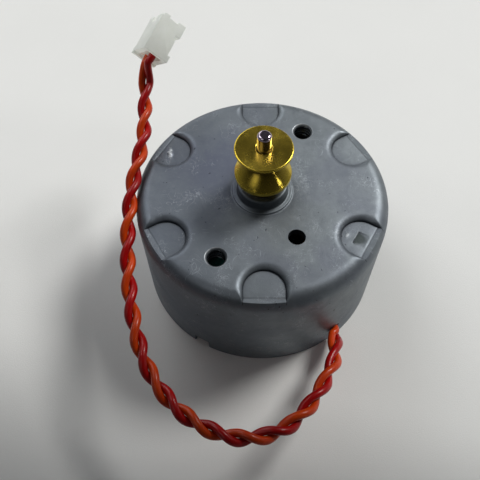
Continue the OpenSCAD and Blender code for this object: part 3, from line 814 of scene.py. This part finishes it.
def plan_rim():
    """The rim as (angle, z), stepping up round each cut-out."""
    stops = [360.0 * i / SIDE_COLUMNS - 180 for i in range(SIDE_COLUMNS)]
    rim = [(p, 0.0) for p in stops
           if all(abs(angle_between(p, a)) > half + 0.35 for a, half, _, _ in CUTS)]
    corner = degrees(CUT_CORNER / CASE_R)
    for a, half, height, steps in CUTS:
        foot = height - CUT_CORNER
        up = [(a - half, height * t) for t in (0.0, 0.12, 0.3, 0.5, 0.7)] + [(a - half, foot)]
        up += [(a - half + corner * (1 - cos(radians(t))), foot + CUT_CORNER * sin(radians(t)))
               for t in (30, 60)]
        top = [(a - half + corner + (2 * half - 2 * corner) * t / steps, height)
               for t in range(steps + 1)]
        down = [(2 * a - p, z) for p, z in reversed(up)]
        rim = [q for q in rim if q[0] < a] + up + top + down + [q for q in rim if q[0] > a]
    path([((RIM_RUN - z) * cos(radians(p)), (RIM_RUN - z) * sin(radians(p))) for p, z in rim],
         closed=True)


def plan_dent(angle):
    """Floor outline, foot, lip, fold and the soft band."""
    def draw(line, fixed=True):
        path([from_dent(u, v, angle) for u, v in line], fixed=fixed)

    end = lip_u(DENT_R)
    for off in (0.0, 0.035):
        draw(dent_outline(end, lambda u: off, side_steps=8, turn=4))
    across = [DENT_R * (k / 12 - 1) for k in range(1, 24)]
    draw([(end, -DENT_R)] + [(lip_u(v), v) for v in across] + [(end, DENT_R)])
    for off in (-0.16, -0.08, 0.0, 0.08, 0.16):
        half = DENT_R if off == 0 else DENT_R - 0.06
        draw([(FOLD - DENT_DIST + off, half * (k / 10 - 1)) for k in range(21)],
             fixed=(off == 0))
    for t in (0.16, 0.32, 0.52, 0.75, 1.0):
        draw(dent_outline(end, lambda u: max(0.05, band_width(u) * t), side_steps=6, turn=5),
             fixed=(t == 1.0))


def plan_marks():
    """Finer points where the two small marks are."""
    step = 0.07
    # dent angle, centre u and v, reach
    for angle, u0, v0, reach in ((STAMP_ANGLE, -0.05, -0.10, 0.86),
                                 (SMEAR_ANGLE, -0.05, 0.35, 0.62)):
        k = int(reach / step)
        for i in range(-k, k + 1):
            for j in range(-k, k + 1):
                u, v = u0 + i * step + (0.5 * step if j % 2 else 0), v0 + j * step
                if hypot(u - u0, v - v0) < reach:
                    points.append(from_dent(u, v, angle))
    for u in (-0.57, -0.52):
        for k in range(21):
            points.append(from_dent(u, -0.82 + 1.44 * k / 20, STAMP_ANGLE))
    for i in range(-3, 4):
        for j in range(-5, 6):
            u, v = -1.30 + 0.07 * i, -0.28 + 0.09 * j
            if outside_dent(u, v) < -0.08:
                points.append(from_dent(u, v, STAMP_ANGLE))


def in_hole(x, y, tap_gap=0.0, plain_gap=0.0):
    return (any(hypot(x - tx, y - ty) < TAP_MOUTH + tap_gap for tx, ty in TAPS)
            or hypot(x - PLAIN_HOLE[0], y - PLAIN_HOLE[1]) < PLAIN_R + plain_gap)


def near_dent(x, y, r):
    for angle in DENT_ANGLES:
        u, v = to_dent(x, y, angle)
        if (u > -3.2 and abs(v) < 3.2 and r > 7
                and outside_dent(u, v) < band_width(u) + 0.05
                and u < lip_u(min(abs(v), DENT_R)) + 0.02):
            return True
    return False


def wanted(x, y):
    """Whether a fill point is clear of cut-outs, holes and dents."""
    run = hypot(x, y)
    cut = cut_at(degrees(atan2(y, x)))
    if cut and run > RIM_RUN - cut[2] - 0.2:
        return False
    if run >= SIDE_START:
        return True
    r, _ = outer_section(run)
    px, py = x / run * r, y / run * r
    return not in_hole(px, py, tap_gap=0.6, plain_gap=0.55) and not near_dent(px, py, r)


def fill_points():
    """Rings of points over the plain sheet, none too near a drawn one."""
    # run, points round it
    face_rings = [(3.9, 72), (4.8, 84), (5.7, 96), (6.6, 108), (7.4, 120), (8.2, 132),
                  (9.0, 144), (9.7, 160), (10.3, 200)]
    side_runs = [FLAT_R + SHOULDER_RUN * k / 14 for k in range(15)]
    side_runs += [SIDE_START + d for d in (0.5, 1.4, 2.8, 4.4, 6.0, 7.4, 8.4, 9.2, 9.9, 10.4)]
    grid = []
    for k, (run, n) in enumerate(face_rings):
        for i in range(n):
            phi = tau * (i + (0.5 if k % 2 else 0)) / n
            grid.append((run * cos(phi), run * sin(phi)))
    for run in side_runs:
        for i in range(SIDE_COLUMNS):
            phi = tau * i / SIDE_COLUMNS
            grid.append((run * cos(phi), run * sin(phi)))
    grid = np.array([p for p in grid if wanted(*p)])
    drawn = np.array(points)
    nearest = np.full(len(grid), 9.9)
    for k in range(0, len(drawn), 500):
        offsets = grid[:, None, :] - drawn[k:k + 500][None, :, :]
        nearest = np.minimum(nearest, np.sqrt((offsets ** 2).sum(2)).min(1))
    return grid[nearest > 0.11]


def is_metal(x, y):
    """Whether a triangle centred here belongs to the sheet."""
    run = hypot(x, y)
    phi = degrees(atan2(y, x))
    if run < SHEET_START:
        return False
    cut = cut_at(phi)
    if cut and run > RIM_RUN - cut[2]:
        # Inside a cut-out only its rounded corners are metal
        a, half, height = cut
        from_side = radians(half - abs(angle_between(phi, a))) * CASE_R
        from_top = height - (RIM_RUN - run)
        if not (from_side < CUT_CORNER and from_top < CUT_CORNER
                and hypot(CUT_CORNER - from_side, CUT_CORNER - from_top) > CUT_CORNER):
            return False
    return not in_hole(x, y)


def case_sheet():
    """(verts, faces) of the sheet: outer skin, inner skin and the rim between them."""
    plan_holes()
    plan_rim()
    for angle in DENT_ANGLES:
        plan_dent(angle)
    plan_marks()
    flat = [Vector(p) for p in points] + [Vector(p) for p in fill_points()]
    flat, _, triangles, _, _, _ = delaunay_2d_cdt(flat, edges, [], 0, 1e-5)
    triangles = [f for f in triangles
                 if is_metal(sum(flat[i].x for i in f) / 3, sum(flat[i].y for i in f) / 3)]
    used = sorted(set(i for f in triangles for i in f))
    index = {i: k for k, i in enumerate(used)}
    triangles = [tuple(index[i] for i in f) for f in triangles]
    n = len(used)
    outer, inner = [], []
    for i in used:
        x, y = flat[i]
        run = hypot(x, y)
        r, plain_z = outer_section(run)
        px, py = x / run * r, y / run * r
        z = sheet_z(px, py, plain_z) if run < SIDE_START else plain_z
        drop = plain_z - z
        if drop > 0.2:
            z += mark_height(px, py)
        outer.append((px, py, z))
        r, inner_z = inner_section(run)
        inner.append((x / run * r, y / run * r, inner_z - drop))
    uses = {}
    for a, b, c in triangles:
        for i, j in ((a, b), (b, c), (c, a)):
            key = (min(i, j), max(i, j))
            uses[key] = uses.get(key, 0) + 1
    walls = [(a, b, b + n, a + n) for (a, b), count in uses.items()
             if count == 1 and hypot(*flat[used[a]]) > SIDE_START]
    back = [tuple(i + n for i in f) for f in triangles]
    return outer + inner, triangles + back + walls


# ------------------------------------------------------------------ case hub and holes
def hub():
    """Shallow step, drawn collar with a rolled top, bore and inner neck."""
    bend_z = COLLAR_TOP - 0.20
    profile = [
        (SHEET_START, FACE), (2.98, FACE), (2.90, FACE + 0.012), (2.862, FACE + 0.05),
        (2.85, FACE + 0.10), (2.82, FACE + 0.132), (2.77, FACE + 0.14), (2.62, FACE + 0.142),
        (2.50, FACE + 0.155), (2.435, FACE + 0.20), (2.405, FACE + 0.28), (2.40, FACE + 0.40),
        (2.40, bend_z)]
    profile += arc(2.20, bend_z, 0.20, 10, 90, 6)
    profile += [(2.08, COLLAR_TOP - 0.006)]
    profile += arc(1.90, bend_z, 0.20, 80, 180, 6)
    profile += [
        (1.70, COLLAR_TOP - 0.5), (1.70, INNER_FACE - 0.52), (1.74, INNER_FACE - 0.585),
        (1.80, INNER_FACE - 0.60), (2.30, INNER_FACE - 0.60), (2.38, INNER_FACE - 0.55),
        (2.40, INNER_FACE - 0.45), (2.40, INNER_FACE - 0.06), (2.46, INNER_FACE),
        (SHEET_START, INNER_FACE)]
    return lathe(profile, HUB_SIDES)


def thread(r, z, a):
    """Cuts a thread into the tap's bore, fading at both ends."""
    pitch, depth = 0.4, 0.15
    if 0.70 < r < 0.81:
        t = ((FACE - z) / pitch + a / tau) % 1.0
        top_fade = min(1.0, max(0.0, (FACE - 0.24 - z) / 0.10))
        low_fade = min(1.0, max(0.0, (z - INNER_FACE + 0.56) / 0.08))
        return TAP_R + depth * (top_fade * low_fade) * (1 - abs(2 * t - 1)) ** 1.2
    return r


def tapped_hole(centre):
    """A countersunk mouth, threaded bore and extruded neck inside."""
    profile = [(TAP_MOUTH, FACE), (TAP_MOUTH - 0.035, FACE - 0.012),
               (TAP_MOUTH - 0.06, FACE - 0.04), (0.83, FACE - 0.21)]
    z = FACE - 0.235
    while z > INNER_FACE - 0.575:
        profile.append((TAP_R, z))
        z -= 0.045
    profile += [(TAP_R, INNER_FACE - 0.585), (0.84, INNER_FACE - 0.6), (1.0, INNER_FACE - 0.6),
                (TAP_MOUTH, INNER_FACE - 0.56), (TAP_MOUTH, INNER_FACE - 0.3),
                (TAP_MOUTH, INNER_FACE)]
    return lathe(profile, TAP_SIDES, centre, wobble=thread)


def plain_hole():
    profile = [(PLAIN_R, FACE), (PLAIN_R - 0.012, FACE - 0.03), (PLAIN_R - 0.02, FACE - 0.10),
               (PLAIN_R - 0.02, INNER_FACE + 0.1), (PLAIN_R, INNER_FACE)]
    return lathe(profile, PLAIN_SIDES, PLAIN_HOLE)


def bevel_rim(bm):
    """Rounds the sharp edges of the rim and its cut-outs."""
    sharp = []
    for e in bm.edges:
        if len(e.link_faces) == 2 and e.calc_face_angle(0) > radians(50):
            heights = [(v.co.z - RIM_Z) / MM for v in e.verts]
            radii = [hypot(v.co.x, v.co.y) / MM for v in e.verts]
            if max(heights) < 2.6 and min(radii) > INNER_R - 0.02:
                sharp.append(e)
    bmesh.ops.bevel(bm, geom=sharp, offset=0.05 * MM, segments=2, profile=0.5,
                    affect="EDGES", clamp_overlap=True)


def stake_tab(angle):
    """A tab staked over the rear cover, bulging inward."""
    half_angle, steps = 4.0, 8
    inner, outer = INNER_R - 0.45, INNER_R + 0.02
    verts, faces = [], []
    for k in range(steps + 1):
        phi = radians(angle - half_angle + 2 * half_angle * k / steps)
        bulge = 0.10 * sin(pi * k / steps)
        for r, z in ((outer, 0.02), (inner + 0.12 - bulge, 0.0), (inner - bulge * 0.5, 0.06),
                     (inner - bulge * 0.5, 0.22), (outer, 0.24)):
            verts.append((r * cos(phi), r * sin(phi), z))
    for k in range(steps):
        for i in range(5):
            j = (i + 1) % 5
            faces.append((k * 5 + i, k * 5 + j, (k + 1) * 5 + j, (k + 1) * 5 + i))
    faces.append((4, 3, 2, 1, 0))
    faces.append(tuple(steps * 5 + i for i in range(5)))
    return verts, faces


case_parts = [case_sheet(), hub()] + [tapped_hole(tap) for tap in TAPS] + [plain_hole()]
build("case_shell", *join(case_parts), slot="steel_case", angle=38, bevel=bevel_rim,
      replaces="can")
build("stake_tabs", *join([stake_tab(a) for a in (0, 90, 180, 270)]), slot="steel_case",
      angle=40)


# ------------------------------------------------------------------ pulley, shaft, bearings
def pulley():
    """A V-grooved pulley with rounded rims and a round-bottomed groove."""
    groove_low, groove_top = PULLEY_LOW + 0.50, PULLEY_TOP - 0.26
    middle = (PULLEY_LOW + PULLEY_TOP) / 2
    root = 1.37
    R, low, top = PULLEY_R, PULLEY_LOW, PULLEY_TOP

    def flank(rim_z, root_z, steps=9):
        return [(R - 0.03 + (root + 0.02 - R + 0.03) * (k / steps),
                 rim_z + (root_z - rim_z) * ((k / steps) ** 0.93)) for k in range(steps + 1)]

    profile = [(SHAFT_R + 0.06, low), (R - 0.75, low), (R - 0.16, low), (R - 0.10, low),
               (R - 0.045, low + 0.02), (R - 0.008, low + 0.065), (R, low + 0.12),
               (R, groove_low - 0.06), (R - 0.008, groove_low - 0.02)]
    profile += flank(groove_low, middle - 0.22)
    profile += [(root - 0.07, middle - 0.12), (root - 0.10, middle), (root - 0.07, middle + 0.12)]
    profile += reversed(flank(groove_top, middle + 0.22))
    profile += [(R - 0.008, groove_top + 0.02), (R, groove_top + 0.06), (R, top - 0.12),
                (R - 0.008, top - 0.065), (R - 0.045, top - 0.02), (R - 0.10, top),
                (R - 0.15, top), (R - 0.75, top - 0.002), (1.15, top - 0.002),
                (SHAFT_R + 0.19, top), (SHAFT_R + 0.13, top), (SHAFT_R + 0.03, top - 0.05),
                (SHAFT_R, top - 0.16), (SHAFT_R, low + 0.10)]
    build("pulley_turned", *lathe(profile, 160, closed=True), slot="pulley_brass", angle=40,
          body="rotor", replaces="pulley")


def shaft():
    end_r = 0.30
    profile = [(0, SHAFT_LOW)] + arc(SHAFT_R - end_r, SHAFT_LOW + end_r, end_r, -90, 0, 8)
    profile += [(SHAFT_R, SHAFT_LOW + 2), (SHAFT_R, PULLEY_LOW), (SHAFT_R, PULLEY_TOP + 0.05),
                (SHAFT_R, SHAFT_TOP - end_r - 0.1)]
    profile += arc(SHAFT_R - end_r, SHAFT_TOP - end_r, end_r, 0, 90, 10)
    profile += [(0.18, SHAFT_TOP), (0, SHAFT_TOP)]
    build("shaft_ground", *lathe(profile, 96), slot="shaft_steel", angle=40, body="rotor",
          replaces="shaft")


def bush(name, node):
    low, top, outer = span(node)
    bore = SHAFT_R + 0.02
    profile = [(bore, low + 0.10), (bore + 0.07, low), (outer - 0.12, low),
               (outer - 0.04, low + 0.03), (outer, low + 0.12), (outer, top - 0.12),
               (outer - 0.04, top - 0.03), (outer - 0.12, top), (1.25, top), (1.20, top - 0.03),
               (0.98, top - 0.04), (bore + 0.16, top - 0.05), (bore + 0.05, top - 0.10),
               (bore, top - 0.2)]
    build(name, *lathe(profile, 72, closed=True), slot="bearing_bronze", angle=40, replaces=node)


pulley()
shaft()
bush("bush_front", "front_bush")
bush("bush_rear", "rear_bush")

# ------------------------------------------------------------------ lead
WIRE_R = 0.375
PAIR_GAP = 0.77                # between the two wires' centres
# Middle of the twisted pair: x, y, z, twist in degrees
ROUTE = np.array([
    (7.4, -9.7, 1.6, 0), (7.2, -11.6, 2.9, 90), (6.9, -13.5, 4.3, 215), (5.8, -16.0, 5.4, 390),
    (4.0, -18.8, 6.1, 615), (1.4, -21.1, 6.6, 865), (-2.0, -21.9, 7.1, 1130),
    (-5.3, -21.0, 7.4, 1390), (-8.1, -19.0, 7.8, 1650), (-10.4, -15.8, 8.3, 1935),
    (-11.8, -11.6, 9.0, 2250), (-12.5, -7.3, 9.9, 2560), (-12.7, -2.9, 11.1, 2870),
    (-12.4, 1.4, 12.3, 3170), (-11.7, 5.7, 13.3, 3465), (-11.7, 10.0, 14.4, 3775),
    (-11.55, 12.55, 16.1, 3980)], float)
ROUTE_END = len(ROUTE) - 1
PLUG_AT, PLUG_TURN = np.array([-11.1, 12.97, 17.15]), (45.4, -22.7, 60.3)
# Each wire's way out through the slot: distance out, across the slot, z
ORANGE_EXIT = [(9.88, 1.56, 2.35), (10.22, 1.32, 2.33), (10.66, 0.7, 2.24), (11.1, 0.2, 2.13),
               (11.55, 0.06, 2.08), (12, 0, 2.06), (12.4, -0.12, 2.14), (12.62, -0.42, 2.42)]
RED_EXIT = [(9.88, -1.56, 2.35), (10.22, -1.32, 2.14), (10.66, -0.74, 1.76),
            (11.1, -0.25, 1.45), (11.55, -0.03, 1.33), (12, 0, 1.29), (12.38, -0.1, 1.33)]


def route_key(i):
    """A route key, carried on straight past either end."""
    if i < 0:
        return 2 * ROUTE[0] - ROUTE[1]
    if i > ROUTE_END:
        return 2 * ROUTE[ROUTE_END] - ROUTE[ROUTE_END - 1]
    return ROUTE[i]


def route_at(q):
    """Catmull-Rom through the route, q counted in keys."""
    i = int(floor(q))
    t = q - i
    a, b, c, d = [route_key(i + k) for k in (-1, 0, 1, 2)]
    return 0.5 * (2 * b + (c - a) * t + (2 * a - 5 * b + 4 * c - d) * t * t
                  + (3 * b - a - 3 * c + d) * t ** 3)


def unit(v):
    return v / np.linalg.norm(v)


def strand(q, side):
    """A point of one wire of the twisted pair."""
    along = unit(route_at(q + 0.02)[:3] - route_at(q - 0.02)[:3])
    up = unit(np.array([0, 0, 1.0]) - along[2] * along)
    across = np.cross(along, up)
    middle = route_at(q)
    twist = radians(middle[3])
    return middle[:3] + side * PAIR_GAP / 2 * (cos(twist) * up + sin(twist) * across)


def in_plug(x, y, z):
    """A point of the plug's own frame, turned about x, y, then z."""
    a, b, c = (radians(d) for d in PLUG_TURN)
    y, z = y * cos(a) - z * sin(a), y * sin(a) + z * cos(a)
    x, z = x * cos(b) + z * sin(b), z * cos(b) - x * sin(b)
    x, y = x * cos(c) - y * sin(c), x * sin(c) + y * cos(c)
    return PLUG_AT + np.array([x, y, z])


def in_slot(out, across, z):
    a = radians(SLOT_ANGLE)
    return np.array([out * cos(a) - across * sin(a), out * sin(a) + across * cos(a), z])


def smooth(keys, step=0.11):
    """Centripetal curve through the keys."""
    line = []
    ends = [keys[0] * 2 - keys[1]] + keys + [keys[-1] * 2 - keys[-2]]
    for p0, p1, p2, p3 in zip(ends, ends[1:], ends[2:], ends[3:]):
        n = max(1, int(round(np.linalg.norm(p2 - p1) / step)))
        t01, t12, t23 = [max(1e-6, np.linalg.norm(b - a) ** 0.5)
                         for a, b in ((p0, p1), (p1, p2), (p2, p3))]
        m1 = p2 - p1 + t12 * ((p1 - p0) / t01 - (p2 - p0) / (t01 + t12))
        m2 = p2 - p1 + t12 * ((p3 - p2) / t23 - (p3 - p1) / (t12 + t23))
        for k in range(n):
            t = k / n
            line.append((2 * t ** 3 - 3 * t ** 2 + 1) * p1 + (t ** 3 - 2 * t ** 2 + t) * m1
                        + (-2 * t ** 3 + 3 * t ** 2) * p2 + (t ** 3 - t ** 2) * m2)
    line.append(keys[-1])
    return line


def wire_path(side, exit_keys, start):
    """Slot, twisted pair from q = start, then into the plug."""
    keys = [in_slot(*key) for key in exit_keys]
    end = ROUTE_END - 9 / 11
    n = int((end - start) * 11) * 3
    keys += [strand(start + (end - start) * k / n, side) for k in range(n + 1)]
    keys.append(route_at(ROUTE_END - 0.5)[:3] - side * np.array([0.40, 0, 0]))
    keys += [in_plug(x, 0, -side * z)
             for x, z in ((-0.75, 0.475), (-0.25, 0.6), (0.4, 0.625), (1.1, 0.625))]
    return smooth(keys)


def tube(line, sides=20, ripple=0.006):
    """(verts, faces) of a slightly uneven wire along a line."""
    n = len(line)
    tangents = [unit(line[min(i + 1, n - 1)] - line[max(i - 1, 0)]) for i in range(n)]
    u = unit(np.cross(tangents[0], [0.31, 0.95, 0.2]))
    verts, faces = [], []
    for i in range(n):
        u = unit(u - u.dot(tangents[i]) * tangents[i])
        w = np.cross(tangents[i], u)
        r = WIRE_R * (1 + ripple * sin(i * 0.31) * sin(i * 0.077 + 1))
        if i == 0 or i == n - 1:
            r = WIRE_R * 0.97
        for j in range(sides):
            a = tau * j / sides
            verts.append(tuple(line[i] + r * (cos(a) * u + sin(a) * w)))
    for i in range(n - 1):
        for j in range(sides):
            k = (j + 1) % sides
            faces.append((i * sides + j, i * sides + k, (i + 1) * sides + k,
                          (i + 1) * sides + j))
    faces.append(tuple(reversed(range(sides))))
    faces.append(tuple((n - 1) * sides + j for j in range(sides)))
    return verts, faces


build("wire_a_orange", *tube(wire_path(1, ORANGE_EXIT, start=6 / 11)), slot="wire_orange",
      angle=60, replaces="lead_orange")
build("wire_b_red", *tube(wire_path(-1, RED_EXIT, start=2 / 11)), slot="wire_red",
      angle=60, replaces="lead_red")

# ------------------------------------------------------------------ plug and rear cover
refine("connector_housing", "plug_housing", "connector_white", width=0.09, segments=3)
refine("rear_cover", "cover_plate", "cover_steel", width=0.05, segments=2)


# ------------------------------------------------------------------ floor
def floor_paper():
    m = Material("floor_paper")
    fine = m.noise(scale=9.0, detail=4, rough=0.6)
    soft = m.noise(scale=0.06, detail=3, rough=0.5, w=2.0)
    col = m.mix(soft.rise(lo=0.3, hi=0.7), (0.815, 0.82, 0.80), (0.84, 0.845, 0.825))
    col = m.mix(fine.rise(lo=0.4, hi=0.7) * 0.08, col, (0.70, 0.69, 0.68))
    return m.set(color=col, rough=0.75, spec=0.15, normal=m.bump(fine, mm=0.02))


def quad(name, corners):
    """A four-cornered sheet, corners in metres."""
    me = bpy.data.meshes.new(name)
    me.from_pydata(corners, [], [(0, 1, 2, 3)])
    return add_object(name, me)


paper = floor_paper()
HALF_FLOOR, FLOOR_Z = 4.0, RIM_Z - 1e-5     # metres, just under the rim
ground = quad("floor", [(x * HALF_FLOOR, y * HALF_FLOOR, FLOOR_Z)
                        for x, y in ((-1, -1), (1, -1), (1, 1), (-1, 1))])
ground.data.materials.append(paper)

# ------------------------------------------------------------------ camera
CAMERA_AT = to_m((-1.81105517, -34.55699118, 59.32286629))
CAMERA_RIGHT = Vector((0.999979449, 0.000309067, -0.006403546))
CAMERA_UP = Vector((0.0030963, 0.85133756, 0.52460916))
CAMERA_VIEW = Vector((-0.00561372, 0.5246182, -0.85131911))
cam = bpy.data.cameras.new("cam")
cam.lens = 45.698
cam.sensor_width = 36
cam.clip_start = 0.001
cam.clip_end = 10
camera = add_object("cam", cam)
camera.matrix_world = Matrix([(CAMERA_RIGHT[i], CAMERA_UP[i], -CAMERA_VIEW[i], CAMERA_AT[i])
                              for i in range(3)] + [(0, 0, 0, 1)])
bpy.context.scene.camera = camera


# ------------------------------------------------------------------ lights
def sun(name, azimuth, height, strength, spread, color):
    """A sun lamp, angles in degrees; returns the direction towards it."""
    az, el = radians(azimuth), radians(height)
    towards = Vector((cos(el) * cos(az), cos(el) * sin(az), sin(el)))
    light = bpy.data.lights.new(name, "SUN")
    light.energy = strength
    light.angle = radians(spread)
    light.color = color
    ob = add_object(name, light)
    ob.location = to_m(tuple(towards * 300))
    aim = Vector(to_m((0, 0, 0))) - Vector(to_m(tuple(towards * 300)))
    ob.rotation_euler = aim.to_track_quat("-Z", "Y").to_euler()
    return towards


# A broad soft lamp from the back right, three weak ones, two small ones for glints.
# name, azimuth, height, strength, spread, colour
SUNS = [("key", 36, 47, 2.12, 19, (1.0, 0.99, 0.97)),
        ("window", 112, 27, 0.52, 30, (0.96, 0.98, 1.0)),
        ("left_back", 145, 52, 0.88, 32, (0.98, 0.99, 1.0)),
        ("left_front", 222, 52, 0.24, 32, (1.0, 1.0, 1.0)),
        ("glint_a", 240, 29, 0.32, 5, (1.0, 0.99, 0.97)),
        ("glint_b", -20, 27, 0.23, 5, (1.0, 0.99, 0.97))]
key_light = [sun(*row) for row in SUNS][0]


def shade_card():
    """A card above the front of the floor that keeps the key light off its near edge."""
    height, depth, overrun = 40.0, 400, 6
    shift_x, shift_y = (key_light.x / key_light.z * height, key_light.y / key_light.z * height)
    # Ends of the shadow's edge on the floor, moved up along the light
    left = (-24.0 + shift_x, -19.0 + shift_y)
    right = (21.5 + shift_x, -29.0 + shift_y)
    dx, dy = right[0] - left[0], right[1] - left[1]
    left = (left[0] - dx * overrun, left[1] - dy * overrun)
    right = (right[0] + dx * overrun, right[1] + dy * overrun)
    card = quad("card", [to_m((*left, height)), to_m((*right, height)),
                         to_m((right[0], right[1] - depth, height)),
                         to_m((left[0], left[1] - depth, height))])
    m = Material("card_black")
    col = m.mix(m.noise(scale=0.1), (0.02, 0.02, 0.02), (0.03, 0.03, 0.03))
    card.data.materials.append(m.set(color=col, rough=0.9))
    card.visible_camera = False
    card.visible_diffuse = False
    card.visible_glossy = False
    card.visible_transmission = False


def room():
    """A dim room, a little lighter high at the back and paler low at both sides."""
    world = bpy.data.worlds.new("room")
    bpy.context.scene.world = world
    world.use_nodes = True
    w = Nodes(world.node_tree)
    output = w.tree.nodes.new("ShaderNodeOutputWorld")
    direction = w.add("TexCoord", out="Generated")
    lightest = Vector((0.15, 0.75, 0.55)).normalized()
    back = w.add("VectorMath", {0: direction, 1: lightest}, out="Value",
                 operation="DOT_PRODUCT")
    back = back.ramp((0.1, (0.030, 0.031, 0.033)), (1.0, (0.055, 0.057, 0.062)))
    x, _, z = w.xyz(direction)
    sideways = abs(x).clamp()
    low = (1.0 - (z * 1.9).clamp()).clamp()
    sides = ((sideways * sideways).clamp() * low).clamp()
    color = w.mix(sides, back, (0.28, 0.29, 0.30))
    w.feed(output.inputs[0], w.add("Background", {0: color, 1: 1.0}))


shade_card()
room()
view = bpy.context.scene.view_settings
view.view_transform = "Standard"
view.look = "None"

bpy.context.view_layer.update()
